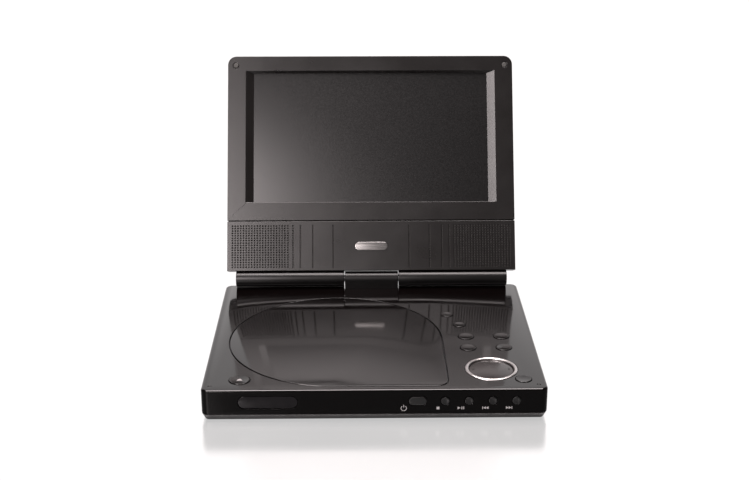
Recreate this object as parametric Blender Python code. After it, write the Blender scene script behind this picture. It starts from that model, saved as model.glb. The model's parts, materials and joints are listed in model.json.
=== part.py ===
"""Portable disc player with a folding screen, as separate closed solids.

Lengths are in millimetres in this file, and add() writes each mesh in metres.
The base frame has X to the user's right, Y from the front face (Y = 0) to the rear and Z up from
the surface that the feet stand on.  Screen pieces are drawn flat: X, then depth behind the front
face, then height above the screen's lower edge.
"""
import math

import bmesh
import bpy
from mathutils import Vector

MM = 0.001
GAP = 0.3                       # clearance between pieces that touch

# Base
WIDTH = 190.0
BASE_DEPTH = 154.0
FOOT_LIFT = 0.8                 # air under the bottom case
TOP = 19.3                      # height of the base's top face
SPLIT = 4.7                     # height of the joint between top cover and bottom case
WALL = 1.8
CORNER_RADIUS = 3.0
BULGE = 1.3                     # front and side walls stand out this far beyond the top face
REAR_ROUND = 0.6                # rounding of the base's rear top edge
REAR_ROUND_INSIDE = 0.3
BOTTOM_IN = 0.7                 # inset of the bottom face, below the bottom case's leaning edge
BOTTOM_INNER_IN = 3.6
FLOOR_TOP = 2.6                 # inner floor of the bottom case
CEILING = TOP - WALL

# Disc bay
SPINDLE = (-22.2, 67.1)
COVER_RADIUS = 63.5
COVER_CORNER = 7.0
COVER_GAP = 0.4
COVER_DRAFT = 1.0               # the cover's edge leans in towards its underside
WELL_RADIUS = 61.5
TRAY_FLOOR = 10.2
TRAY_SKIN = 1.2
TRAY_LIP = 1.4                  # reach of the tray's flange beyond the cover's outline
DISC_SEAT = 11.6
COVER_PIVOT = (134.5, TOP - 3.4)        # Y and Z
COVER_ARM_OFFSET = 8.0
ARM_FRONT = 7.2                 # faces of an upright arm, in front of the cover's pivot
ARM_BACK = 5.7
ARM_FOOT = 4.0                  # underside of an arm, below the pivot
ARM_CHAMFER = 1.0
LENS_START = 24.0               # lens distance from the spindle at rest
SLED_TRAVEL = 34.0
ROD_Y = 51.0
SCREW_Y = 84.0
CARRIAGE_Z = 6.0

# Controls: name, X, Y and radius on the top face
TOP_KEYS = (
    ("key_display", 46.8, 103.1, 3.6),
    ("key_mode", 53.4, 87.2, 3.6),
    ("key_menu", 56.1, 69.6, 4.55),
    ("key_setup", 56.1, 53.5, 4.55),
    ("key_search", 77.3, 69.7, 4.55),
    ("key_return", 77.2, 53.6, 4.55),
    ("key_stop", 83.8, 11.3, 4.4),
)
KEY_PROUD = 0.4
KEY_STEM = 1.5
OPEN_BUTTON = (-75.6, 12.2)
OPEN_RADIUS = 5.75
OPEN_STEM = 2.0
OPEN_STEM_FOOT = 10.4
# Side of the latch: distance from the button's axis towards the spindle, and height.  The stem
# pushes down on the slope beside it, so the latch slides back as far as the button sinks.
LATCH_WIDTH = 6.0
LATCH_PROFILE = (
    (-5.5, 7.2), (-5.5, 9.9), (-OPEN_STEM, 9.9), (-0.3, 8.2), (4.2, 8.2), (4.2, 9.9), (13.0, 9.9),
    (13.0, 7.2),
)
DIAL = (66.9, 24.9)
DIAL_OUTER = 15.1
DIAL_INNER = 12.95
DIAL_PAD = 12.6
DIAL_PIVOT = TOP - 3.0
FRONT_KEYS = (
    ("front_key_stop", 39.2),
    ("front_key_play", 52.4),
    ("front_key_back", 65.6),
    ("front_key_forward", 78.7),
)
FRONT_ROW = TOP - 6.9
SENSOR_ROW = TOP - 7.3
FRONT_RADIUS = 2.3
POWER_KEY = (23.9, 10.0, 4.8)           # X, length and height
SENSOR = (-59.2, 33.0, 7.3)             # X, length and height

# Hinge and screen
HINGE = (152.0, TOP + 5.4)              # Y and Z of the axis
BARREL_RADIUS = 4.6
BARREL_INNER = 18.1
BARREL_OUTER = 89.2
KNUCKLE_HALF = 17.7
KNUCKLE_RADIUS = 4.4
SHAFT_RADIUS = 2.2
SCREEN_TILT = math.radians(25.6)        # lean back from upright at rest
SCREEN_HEIGHT = 143.8
SCREEN_THICK = 12.0
SCREEN_AXIS = (4.7, -4.85)              # axis behind the front face and below the lower edge
SCREEN_CORNER = 5.8
SCREEN_SPLIT = 7.5                      # depth of the joint between bezel and back
PANEL_TOP = 32.7                        # top of the speaker panel
BEZEL_BOTTOM = 33.3
VIEW_OUTER = (83.0, 45.4, 134.1)        # half width, low and high edge at the face
VIEW_INNER = (77.7, 45.4, 132.4)        # the same at the panel
SPEAKER = (78.0, 16.75)

# Middle of the whole product, front to back: the front keys stand proud at one end, and the
# screen's upper back edge is the other
SCREEN_BACK_EDGE = 1.5
REACH_UP = SCREEN_HEIGHT - SCREEN_AXIS[1] - SCREEN_BACK_EDGE
REACH_BACK = SCREEN_THICK - SCREEN_AXIS[0]
REACH_TOP = SCREEN_HEIGHT - SCREEN_AXIS[1]
REACH_EDGE = SCREEN_THICK - SCREEN_BACK_EDGE - SCREEN_AXIS[0]
REAR_MOST = HINGE[0] + max(
    REACH_UP * math.sin(SCREEN_TILT) + REACH_BACK * math.cos(SCREEN_TILT),
    REACH_TOP * math.sin(SCREEN_TILT) + REACH_EDGE * math.cos(SCREEN_TILT),
)
Y_CENTRE = (REAR_MOST - BULGE - KEY_PROUD) / 2


# ---- outlines -------------------------------------------------------------------------------

def arc(cx, cy, radius, start, end, steps):
    """Points on an arc, angles in degrees, both ends included."""
    points = []
    for i in range(steps + 1):
        angle = math.radians(start + (end - start) * i / steps)
        points.append((cx + radius * math.cos(angle), cy + radius * math.sin(angle)))
    return points


def circle(cx, cy, radius, steps=20):
    return arc(cx, cy, radius, 0, 360, steps)[:-1]


def rounded(x0, x1, y0, y1, low_radius, high_radius=None, steps=4):
    """A rectangle with round corners; low_radius is at y0, high_radius at y1."""
    if high_radius is None:
        high_radius = low_radius
    low = max(low_radius, 0.05)
    high = max(high_radius, 0.05)
    return (arc(x1 - low, y0 + low, low, -90, 0, steps)
            + arc(x1 - high, y1 - high, high, 0, 90, steps)
            + arc(x0 + high, y1 - high, high, 90, 180, steps)
            + arc(x0 + low, y0 + low, low, 180, 270, steps))


def stadium(cx, cy, length, height, steps=8):
    radius = height / 2
    reach = length / 2 - radius
    return (arc(cx + reach, cy, radius, -90, 90, steps)
            + arc(cx - reach, cy, radius, 90, 270, steps))


def cover_outline(grow=0.0, steps=60):
    """The disc cover: round, with a square front right corner."""
    cx, cy = SPINDLE
    radius = COVER_RADIUS + grow
    corner = COVER_CORNER + grow
    return (arc(cx, cy, radius, 0, 270, steps)
            + arc(cx + radius - corner, cy - radius + corner, corner, -90, 0, 6))


def case_outline(inset, rear_inset=None):
    """The base seen from above, drawn in by inset, and by rear_inset at the rear."""
    rear = inset if rear_inset is None else rear_inset
    half = WIDTH / 2 - inset
    return rounded(-half, half, inset, BASE_DEPTH - rear, CORNER_RADIUS - inset)


def screen_outline(inset=0.0, low=0.0, low_radius=0.8):
    half = WIDTH / 2 - inset
    return rounded(-half, half, low + inset, SCREEN_HEIGHT - inset,
                   low_radius, SCREEN_CORNER - inset, 5)


# ---- solids ---------------------------------------------------------------------------------

def loft(bm, rings):
    """Join rings of equal length into a closed skin, with a cap on the first and the last."""
    loops = [[bm.verts.new(point) for point in ring] for ring in rings]
    for low, high in zip(loops, loops[1:]):
        for i, vert in enumerate(low):
            after = (i + 1) % len(low)
            bm.faces.new((vert, low[after], high[after], high[i]))
    bm.faces.new(loops[0])
    bm.faces.new(loops[-1])


def prism(bm, outline, low, high, axis="Z"):
    """Extrude an outline along one axis."""
    loft(bm, [lay(outline, low, axis), lay(outline, high, axis)])


def lay(outline, level, axis="Z"):
    """Place a flat outline: Z takes (x, y), Y takes (x, z) and X takes (y, z)."""
    if axis == "Z":
        return [(a, b, level) for a, b in outline]
    if axis == "Y":
        return [(a, level, b) for a, b in outline]
    return [(level, a, b) for a, b in outline]


def box(bm, x0, x1, y0, y1, z0, z1):
    prism(bm, [(x0, y0), (x1, y0), (x1, y1), (x0, y1)], z0, z1)


def turned(bm, profile, centre, axis="Z", steps=20):
    """Turn a profile of (radius, level) about an axis through centre; it starts and ends flat."""
    rings = [lay(circle(centre[0], centre[1], radius, steps), level, axis)
             for radius, level in profile]
    loft(bm, rings)


def shape(*parts):
    """A bmesh holding each (function, arguments) solid."""
    bm = bmesh.new()
    for make, *arguments in parts:
        make(bm, *arguments)
    return bm


# ---- objects and materials ------------------------------------------------------------------

def material(name, colour, roughness, metallic=0.0):
    made = bpy.data.materials.new(name)
    made.use_nodes = True
    shader = made.node_tree.nodes["Principled BSDF"]
    shader.inputs["Base Color"].default_value = (*colour, 1.0)
    shader.inputs["Roughness"].default_value = roughness
    shader.inputs["Metallic"].default_value = metallic
    return made


def empty(name, location, parent=None, tilt=0.0):
    made = bpy.data.objects.new(name, None)
    bpy.context.scene.collection.objects.link(made)
    made.location = Vector(location) * MM
    made.rotation_euler.x = tilt
    made.parent = parent
    return made


def add(name, bm, finish, parent, origin=(0.0, 0.0, 0.0), on_parent=False):
    """Make an object whose own origin is at origin; on_parent puts that point on its parent."""
    bmesh.ops.recalc_face_normals(bm, faces=bm.faces[:])
    for vert in bm.verts:
        vert.co = (vert.co - Vector(origin)) * MM
    mesh = bpy.data.meshes.new(name)
    bm.to_mesh(mesh)
    bm.free()
    mesh.shade_smooth()
    mesh.set_sharp_from_angle(angle=math.radians(30))
    made = bpy.data.objects.new(name, mesh)
    bpy.context.scene.collection.objects.link(made)
    made.parent = parent
    if not on_parent:
        made.location = Vector(origin) * MM
    if finish is not None:
        mesh.materials.append(finish)
    return made


def combine(target, bm, operation="DIFFERENCE"):
    """Cut a tool out of an object, or weld it on, in the object's own frame."""
    tool = add(f"{target.name}_{operation.lower()}_{len(target.modifiers)}", bm, None, target)
    tool.hide_render = True
    tool.display_type = "WIRE"
    boolean = target.modifiers.new(operation.title(), "BOOLEAN")
    boolean.operation = operation
    boolean.solver = "EXACT"
    boolean.object = tool


# ---- base -----------------------------------------------------------------------------------

SCREW_PLACES = tuple((x, y) for x in (-88.5, 88.5) for y in (34.0, 126.0))
FOOT_PLACES = tuple((x, y) for x in (-80.0, 80.0) for y in (16.0, 140.0))
END_NAMES = ("front_left", "rear_left", "front_right", "rear_right")
JACKS = (("headphone_jack", 48.0, 1.8), ("av_jack", 64.0, 1.8), ("dc_jack", 80.0, 2.7))
JACK_Z = 10.9
JACK_NOSE = 94.6 + BULGE


def build_bottom_case(base, finish):
    shell = bmesh.new()
    rim = SPLIT - GAP / 2
    loft(shell, [lay(case_outline(BOTTOM_INNER_IN), FLOOR_TOP),
                 lay(case_outline(BOTTOM_INNER_IN), rim),
                 lay(case_outline(-BULGE, 0.0), rim),
                 lay(case_outline(BOTTOM_IN), FOOT_LIFT)])
    case = add("bottom_case", shell, finish, base)
    holes = bmesh.new()
    for x, y in SCREW_PLACES:
        turned(holes, [(2.8, 0.0), (2.8, 2.0), (1.4, 2.0), (1.4, 5.0)], (x, y))
    for x, y in FOOT_PLACES:
        prism(holes, circle(x, y, 5.8), 0.0, 1.4)
    combine(case, holes)


def build_feet_and_screws(base, rubber, steel):
    for name, (x, y) in zip(END_NAMES, FOOT_PLACES):
        foot = bmesh.new()
        turned(foot, [(5.0, 0.0), (5.5, 0.5), (5.5, 1.4 - GAP)], (x, y))
        add(f"foot_{name}", foot, rubber, base)
    for name, (x, y) in zip(END_NAMES, SCREW_PLACES):
        screw = bmesh.new()
        turned(screw, [(2.5, 1.0), (2.5, 1.7), (1.1, 1.7), (1.1, 9.0)], (x, y), "Z", 12)
        add(f"case_screw_{name}", screw, steel, base)


def rear_rings(radius, side, top, steps=5):
    """Rear inset and height of a rounded rear edge that joins a side to a top face."""
    pairs = []
    for i in range(steps + 1):
        angle = math.radians(90 * i / steps)
        pairs.append((side + radius * (1 - math.cos(angle)), top - radius * (1 - math.sin(angle))))
    return pairs


def build_top_cover(base, finish):
    inner = [lay(case_outline(WALL, rear), z)
             for rear, z in reversed(rear_rings(REAR_ROUND_INSIDE, WALL, CEILING))]
    foot = SPLIT + GAP / 2
    outer = []
    for i in range(6):
        angle = math.radians(18 * i)
        ring = case_outline(-BULGE * math.cos(angle), REAR_ROUND * (1 - math.cos(angle)))
        outer.append(lay(ring, TOP - BULGE * (1 - math.sin(angle))))
    shell = bmesh.new()
    loft(shell, inner + [lay(case_outline(WALL), foot), lay(case_outline(-BULGE, 0.0), foot)] + outer)
    cover = add("top_cover", shell, finish, base)
    bosses = bmesh.new()
    for x, y in SCREW_PLACES:
        prism(bosses, circle(x, y, 2.6, 16), SPLIT + GAP, CEILING + 0.5)
    combine(cover, bosses, "UNION")
    cut = bmesh.new()
    prism(cut, cover_outline(COVER_GAP), CEILING - 3, TOP + 3)
    for _, x, y, radius in TOP_KEYS:
        prism(cut, circle(x, y, radius + 0.35), CEILING - 3, TOP + 3)
    prism(cut, circle(*OPEN_BUTTON, OPEN_RADIUS + 0.35), CEILING - 3, TOP + 3)
    prism(cut, circle(*DIAL, DIAL_OUTER + GAP, 32), CEILING - 3, TOP + 3)
    for x, y in SCREW_PLACES:
        prism(cut, circle(x, y, 1.4, 16), 0.0, 10.0)
    combine(cover, cut)
    walls = bmesh.new()
    prism(walls, stadium(SENSOR[0], SENSOR_ROW, SENSOR[1] + 2 * GAP, SENSOR[2] + 2 * GAP),
          -BULGE - 2, WALL + 1, "Y")
    prism(walls, stadium(POWER_KEY[0], FRONT_ROW, POWER_KEY[1] + 2 * GAP, POWER_KEY[2] + 2 * GAP),
          -BULGE - 2, WALL + 1, "Y")
    for _, x in FRONT_KEYS:
        prism(walls, circle(x, FRONT_ROW, FRONT_RADIUS + GAP, 20), -BULGE - 2, WALL + 1, "Y")
    for _, y, _ in JACKS:
        prism(walls, circle(y, JACK_Z, 3.6, 20), 90, 99, "X")
    half = KNUCKLE_HALF + GAP / 2
    box(walls, -half, half, 147.3, 162, TOP - 5, TOP + 4)
    combine(cover, walls)


def build_hinge_base(base, gloss, steel):
    y, z = HINGE
    half = KNUCKLE_HALF - GAP / 2
    reach = KNUCKLE_RADIUS
    profile = ([(BASE_DEPTH - 0.3, TOP - 5 + GAP)] + arc(y, z, reach, -60, 180, 18)
               + [(y - reach, TOP - 5 + GAP)])
    knuckle = add("hinge_knuckle", shape((prism, profile, -half, half, "X")), gloss, base)
    bore = shape((prism, circle(y, z, SHAFT_RADIUS + GAP, 16), -40, 40, "X"))
    combine(knuckle, bore)
    for side, name in ((-1, "hinge_shaft_left"), (1, "hinge_shaft_right")):
        shaft = bmesh.new()
        prism(shaft, circle(y, z, SHAFT_RADIUS, 16), side * 7.0, side * 40.0, "X")
        add(name, shaft, steel, base)


def build_sensor_window(base, finish):
    x, length, height = SENSOR
    z = SENSOR_ROW
    window = add("sensor_window", shape((prism, stadium(x, z, length, height), -BULGE, WALL + 0.8, "Y")),
                 finish, base)
    flange = shape((prism, stadium(x, z, length + 3, height + 3), WALL + GAP, WALL + 1.3, "Y"))
    combine(window, flange, "UNION")


def build_jacks(base, finish):
    for name, y, bore in JACKS:
        jack = add(name, shape((box, 82.0, 92.9, y - 3.4, y + 3.4, 7.6, 14.2)), finish, base)
        nose = shape((prism, circle(y, JACK_Z, 3.2, 20), 92.0, JACK_NOSE, "X"))
        combine(jack, nose, "UNION")
        combine(jack, shape((prism, circle(y, JACK_Z, bore, 16), 83.6, 99, "X")))


def build_board_and_battery(base, board_finish, battery_finish):
    board = add("main_board", shape((box, 44.5, 84.5, 6.0, 128.0, 6.0, 7.2)), board_finish, base)
    chips = bmesh.new()
    for x, y, half in ((66.0, 86.0, 5.0), (68.0, 110.0, 6.5), (54.0, 118.0, 4.0), (50.0, 40.0, 4.5)):
        box(chips, x - half, x + half, y - half, y + half, 6.8, 8.4)
    combine(board, chips, "UNION")
    pack = shape((prism, rounded(137.2, 146.8, 3.2, 15.6, 3.0), -78.0, 58.0, "X"))
    add("battery_pack", pack, battery_finish, base)


# ---- disc drive -----------------------------------------------------------------------------

def ear_places():
    """X of each hinge arm, and the side on which its stub pin stands."""
    return tuple((SPINDLE[0] + side * COVER_ARM_OFFSET, side) for side in (-1, 1))


def build_disc_tray(base, finish):
    cx, cy = SPINDLE
    rim = CEILING - GAP
    tray = add("disc_tray", shape((prism, cover_outline(TRAY_LIP), rim - TRAY_SKIN, rim)), finish, base)
    cup = shape((turned, [(WELL_RADIUS + 1.5, rim - 0.4), (WELL_RADIUS + 1.5, TRAY_FLOOR - TRAY_SKIN)],
                 SPINDLE, "Z", 56))
    combine(tray, cup, "UNION")
    ears = bmesh.new()
    pivot_y, pivot_z = COVER_PIVOT
    for x, side in ear_places():
        inner = x + side * 1.8
        outer = x + side * 4.0
        box(ears, min(inner, outer), max(inner, outer), 127.5, pivot_y + 2.2, TRAY_FLOOR - 1, rim - 0.2)
    combine(tray, ears, "UNION")
    combine(tray, shape((turned, [(WELL_RADIUS, TRAY_FLOOR), (WELL_RADIUS, TOP)], SPINDLE, "Z", 56)))
    floor_cuts = bmesh.new()
    prism(floor_cuts, circle(cx, cy, 14.9, 32), 5, 11)
    box(floor_cuts, cx - 65.2 + 4, cx - 17.0, cy - 6.5, cy + 6.5, 5, 11)
    combine(tray, floor_cuts)
    arm_cuts = bmesh.new()
    for x, side in ear_places():
        box(arm_cuts, x - 1.8, x + 1.8, 124.0, pivot_y + 4, TRAY_FLOOR + 0.1, TOP)
    combine(tray, arm_cuts)
    bores = bmesh.new()
    for x, side in ear_places():
        prism(bores, circle(pivot_y, pivot_z, 1.25, 16), x + side * 1.0, x + side * 6, "X")
    combine(tray, bores)


def build_disc_cover(base, finish):
    """The cover swings up on two swan-neck arms under the deck, with a stub pin on each."""
    pivot_y, pivot_z = COVER_PIVOT
    pivot = (SPINDLE[0], pivot_y, pivot_z)
    lid = bmesh.new()
    loft(lid, [lay(cover_outline(-COVER_DRAFT), CEILING), lay(cover_outline(0.0), TOP)])
    cover = add("disc_cover", lid, finish, base, pivot)
    arms = bmesh.new()
    eye = 1.1
    for x, side in ear_places():
        front, rear, foot = pivot_y - ARM_FRONT, pivot_y - ARM_BACK, pivot_z - ARM_FOOT
        lead = [(front, CEILING + 0.6), (front, foot + ARM_CHAMFER), (front + ARM_CHAMFER, foot),
                (pivot_y + eye, foot)]
        back = [(pivot_y - eye, pivot_z - 2.2), (rear, pivot_z - 2.2), (rear, CEILING + 0.6)]
        neck = lead + arc(pivot_y, pivot_z, eye, 0, 180, 6) + back
        swung = [(y - pivot[1], z - pivot[2]) for y, z in neck]
        prism(arms, swung, x - 1.4 - pivot[0], x + 1.4 - pivot[0], "X")
    combine(cover, arms, "UNION")
    pins = bmesh.new()
    for x, side in ear_places():
        prism(pins, circle(0.0, 0.0, 0.9, 12), x - pivot[0] + side * 1.0, x - pivot[0] + side * 3.8, "X")
    combine(cover, pins, "UNION")


def build_latch_and_open_button(base, latch_finish, button_finish):
    x, y = OPEN_BUTTON
    button = bmesh.new()
    turned(button, [(OPEN_RADIUS, TOP + KEY_PROUD - 0.4), (OPEN_RADIUS, CEILING - 1.6),
                    (OPEN_RADIUS + 1.0, CEILING - 1.6), (OPEN_RADIUS + 1.0, CEILING - 2.6),
                    (OPEN_STEM, CEILING - 2.6), (OPEN_STEM, OPEN_STEM_FOOT)], (x, y), "Z", 20)
    made = add("open_button", button, button_finish, base, (x, y, TOP))
    cap = bmesh.new()
    turned(cap, [(OPEN_RADIUS, -0.6), (OPEN_RADIUS, KEY_PROUD - 0.3), (OPEN_RADIUS - 0.6, KEY_PROUD)],
           (0.0, 0.0), "Z", 20)
    combine(made, cap, "UNION")
    towards = Vector((SPINDLE[0] - x, SPINDLE[1] - y, 0.0)).normalized()
    across = Vector((-towards.y, towards.x, 0.0)) * LATCH_WIDTH / 2
    sides = []
    for side in (-across, across):
        sides.append([(x + towards.x * reach + side.x, y + towards.y * reach + side.y, level)
                      for reach, level in LATCH_PROFILE])
    latch = bmesh.new()
    loft(latch, sides)
    add("cover_latch", latch, latch_finish, base, (x, y, 8.6))


def build_drive(base, finishes):
    cx, cy = SPINDLE
    plate = add("drive_chassis", shape((box, -92.5, 38.0, 40.0, 120.0, 5.4, 6.6)),
                finishes["steel"], base)
    cuts = bmesh.new()
    box(cuts, -90.5, cx - 14.3, 47.0, 89.0, 3, 9)
    prism(cuts, circle(cx, cy, 12.4, 32), 3, 9)
    box(cuts, 5.0, 30.0, 50.0, 110.0, 3, 9)
    combine(plate, cuts)
    motor = bmesh.new()
    turned(motor, [(11.5, 3.0), (12.0, 3.5), (12.0, 8.0), (11.5, 8.5), (1.0, 8.5), (1.0, 12.0)],
           SPINDLE, "Z", 24)
    add("spindle_motor", motor, finishes["steel"], base)
    table = bmesh.new()
    turned(table, [(14.0, 9.4), (14.0, DISC_SEAT), (7.3, DISC_SEAT), (7.3, 13.4), (6.2, 14.8),
                   (3.0, 15.4)], SPINDLE, "Z", 24)
    turntable = add("turntable", table, finishes["black"], base, (cx, cy, DISC_SEAT))
    bore = shape((prism, circle(0.0, 0.0, 1.3, 12), -5.0, 0.8))
    combine(turntable, bore)
    rod = shape((prism, circle(ROD_Y, CARRIAGE_Z, 1.2, 16), -90.2, cx - 14.6, "X"))
    add("guide_rod", rod, finishes["steel"], base)
    feed = bmesh.new()
    prism(feed, circle(SCREW_Y, CARRIAGE_Z, 2.7, 20), -90.2, -83.2, "X")
    add("feed_motor", feed, finishes["steel"], base)
    screw = bmesh.new()
    prism(screw, circle(SCREW_Y, CARRIAGE_Z, 1.3, 16), -82.9, cx - 14.6, "X")
    add("lead_screw", screw, finishes["brass"], base, (-60.0, SCREW_Y, CARRIAGE_Z))
    build_sled(base, finishes)


def build_sled(base, finishes):
    cx, cy = SPINDLE
    lens_x = cx - LENS_START
    spot = (lens_x, cy, 8.0)
    body = shape((box, lens_x - 7, lens_x + 7, 48.0, 79.0, 3.9, 8.0))
    sled = add("pickup_sled", body, finishes["black"], base, spot)
    arm = shape((box, -2.0, 2.0, 78.0 - cy, SCREW_Y - 1.6 - cy, 5.0 - 8.0, 7.0 - 8.0))
    combine(sled, arm, "UNION")
    cuts = bmesh.new()
    prism(cuts, circle(ROD_Y - cy, CARRIAGE_Z - 8.0, 1.5, 16), -9, 9, "X")
    prism(cuts, circle(0.0, 0.0, 3.6, 20), -1.6, 2.0)
    combine(sled, cuts)
    lens = bmesh.new()
    turned(lens, [(3.2, 6.9), (3.2, 9.3), (2.4, 9.9), (1.2, 10.2)], (lens_x, cy), "Z", 20)
    add("pickup_lens", lens, finishes["glass"], base, (lens_x, cy, 8.6))


# ---- controls -------------------------------------------------------------------------------

def build_top_keys(base, finish):
    for name, x, y, radius in TOP_KEYS:
        key = bmesh.new()
        foot = CEILING - 0.6
        turned(key, [(KEY_STEM, 8.0), (KEY_STEM, foot - 0.9), (radius + 0.8, foot - 0.9),
                     (radius + 0.8, foot), (radius, foot), (radius, TOP + KEY_PROUD - 0.25),
                     (radius - 0.4, TOP + KEY_PROUD)], (x, y), "Z", 18)
        add(name, key, finish, base, (x, y, TOP))


def build_dial(base, chrome, pad_finish, inner_finish):
    x, y = DIAL
    ring = bmesh.new()
    turned(ring, [(DIAL_OUTER + 1.2, CEILING - 0.8), (DIAL_OUTER + 1.2, CEILING - GAP),
                  (DIAL_OUTER, CEILING - GAP), (DIAL_OUTER, TOP + 0.1), (DIAL_OUTER - 0.5, TOP + 0.45),
                  (DIAL_INNER + 0.4, TOP + 0.45)], DIAL, "Z", 32)
    made = add("dial_ring", ring, chrome, base)
    combine(made, shape((prism, circle(x, y, DIAL_INNER, 32), CEILING - 3, TOP + 3)))
    pad = bmesh.new()
    turned(pad, [(3.0, TOP - 2.2), (DIAL_PAD, TOP - 2.2), (DIAL_PAD, TOP + 0.1), (12.0, TOP + 0.3),
                 (10.4, TOP + 0.0), (7.0, TOP - 0.5), (3.0, TOP - 0.75)], DIAL, "Z", 32)
    pivot = (x, y, DIAL_PIVOT)
    add("dial_pad", pad, pad_finish, base, pivot)
    gimbal = shape((prism, circle(x, y, 4.0, 20), TOP - 3.8, TOP - 2.6))
    add("dial_gimbal", gimbal, inner_finish, base, pivot)
    plunger = bmesh.new()
    turned(plunger, [(2.0, 8.2), (2.0, TOP - 5.6), (3.6, TOP - 5.2), (3.6, TOP - 4.2)], DIAL, "Z", 20)
    add("dial_plunger", plunger, inner_finish, base, pivot)


def build_front_keys(base, finish):
    x, length, height = POWER_KEY
    outlines = [("power_key", x, stadium(x, FRONT_ROW, length, height),
                 stadium(x, FRONT_ROW, length + 1.8, height + 1.8))]
    for name, key_x in FRONT_KEYS:
        outlines.append((name, key_x, circle(key_x, FRONT_ROW, FRONT_RADIUS, 20),
                         circle(key_x, FRONT_ROW, FRONT_RADIUS + 0.9, 20)))
    behind = WALL + 0.6
    for name, key_x, outline, flange in outlines:
        key = bmesh.new()
        loft(key, [lay(outline, -BULGE - KEY_PROUD, "Y"), lay(outline, behind, "Y"),
                   lay(flange, behind, "Y"), lay(flange, behind + 0.9, "Y")])
        add(name, key, finish, base, (key_x, -BULGE, FRONT_ROW))


# ---- screen ---------------------------------------------------------------------------------

def screen_add(name, bm, finish, hinge):
    """Add a piece drawn on the flat screen, with its origin on the hinge axis."""
    return add(name, bm, finish, hinge, (0.0, *SCREEN_AXIS), on_parent=True)


def on_axis(outline):
    """Move a flat outline from screen heights to heights above the hinge axis."""
    return [(x, z - SCREEN_AXIS[1]) for x, z in outline]


def depth(value):
    """Depth behind the screen's face, counted from the hinge axis."""
    return value - SCREEN_AXIS[0]


def build_bezel(hinge, finish):
    body = shape((prism, screen_outline(0.0, BEZEL_BOTTOM, 0.2), 0.0, SCREEN_SPLIT, "Y"))
    bezel = screen_add("screen_bezel", body, finish, hinge)
    pocket = on_axis(rounded(-WIDTH / 2 + WALL, WIDTH / 2 - WALL, 20, SCREEN_HEIGHT - WALL, 0.2, 4.0))
    combine(bezel, shape((prism, pocket, depth(WALL), depth(20), "Y")))
    spread = [outer - inner for outer, inner in zip(VIEW_OUTER, VIEW_INNER)]
    rings = []
    for level in (-0.6, WALL + 0.6):
        share = 1.0 - level / WALL
        half, low, high = [inner + step * share for inner, step in zip(VIEW_INNER, spread)]
        rings.append(lay(on_axis(rounded(-half, half, low, high, 0.3)), depth(level), "Y"))
    view = bmesh.new()
    loft(view, rings)
    for side in (-1, 1):
        spot = on_axis(circle(side * 89.7, 137.6, 1.7 + GAP, 16))
        prism(view, spot, depth(-2), depth(4), "Y")
    combine(bezel, view)


def build_speaker_panel(hinge, finish):
    half = WIDTH / 2
    body = shape((prism, rounded(-half, half, 0.0, PANEL_TOP, 0.8, 0.2), 0.0, SCREEN_SPLIT, "Y"))
    panel = screen_add("speaker_panel", body, finish, hinge)
    hollow = [(2.9, -2.0), (2.9, WALL), (WALL, WALL), (WALL, 45.0), (16.0, 45.0), (16.0, -2.0)]
    section = [(depth(w), v - SCREEN_AXIS[1]) for w, v in hollow]
    combine(panel, shape((prism, section, -half + WALL, half - WALL, "X")))
    pocket = on_axis(stadium(0.0, 16.0, 21.5 + 2 * GAP, 5.5 + 2 * GAP))
    combine(panel, shape((prism, pocket, depth(-2), depth(0.9), "Y")))


def build_screen_back(hinge, finish):
    back = bmesh.new()
    front = SCREEN_SPLIT + GAP
    loft(back, [lay(screen_outline(WALL), SCREEN_THICK - WALL, "Y"),
                lay(screen_outline(WALL), front, "Y"),
                lay(screen_outline(0.0), front, "Y"),
                lay(screen_outline(0.0), SCREEN_THICK - SCREEN_BACK_EDGE, "Y"),
                lay(screen_outline(SCREEN_BACK_EDGE), SCREEN_THICK, "Y")])
    screen_add("screen_back", back, finish, hinge)


def build_screen_inside(hinge, finishes):
    def slab(x, y0, y1, z0, z1):
        return shape((box, -x, x, y0, y1, z0, z1))
    screen_add("lcd_panel", slab(81.5, WALL + GAP, 4.4, 42.0, 137.0), finishes["lcd"], hinge)
    screen_add("backlight_unit", slab(81.5, 4.7, 7.4, 42.0, 137.0), finishes["white"], hinge)
    board = screen_add("screen_board", slab(60.0, 7.7, 8.9, 52.0, 122.0), finishes["board"], hinge)
    chips = bmesh.new()
    for x, v in ((-30.0, 80.0), (10.0, 96.0), (38.0, 72.0)):
        box(chips, x - 6, x + 6, depth(8.5), depth(9.8), v - 6 - SCREEN_AXIS[1], v + 6 - SCREEN_AXIS[1])
    combine(board, chips, "UNION")
    for side, name in ((-1, "speaker_left"), (1, "speaker_right")):
        driver = bmesh.new()
        turned(driver, [(9.0, 2.7), (10.0, WALL + GAP), (11.4, WALL + GAP), (11.4, 3.4), (7.5, 6.2),
                        (6.0, 6.2), (6.0, 9.6)], (side * SPEAKER[0], SPEAKER[1]), "Y", 18)
        screen_add(name, driver, finishes["speaker"], hinge)
    for side, name in ((-1, "bumper_left"), (1, "bumper_right")):
        pad = bmesh.new()
        turned(pad, [(1.3, -0.45), (1.7, -0.2), (1.7, 1.6)], (side * 89.7, 137.6), "Y", 16)
        screen_add(name, pad, finishes["rubber"], hinge)
    plate = shape((prism, stadium(0.0, 16.0, 21.5, 5.5), -0.3, 0.6, "Y"))
    screen_add("badge", plate, finishes["satin"], hinge)


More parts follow.
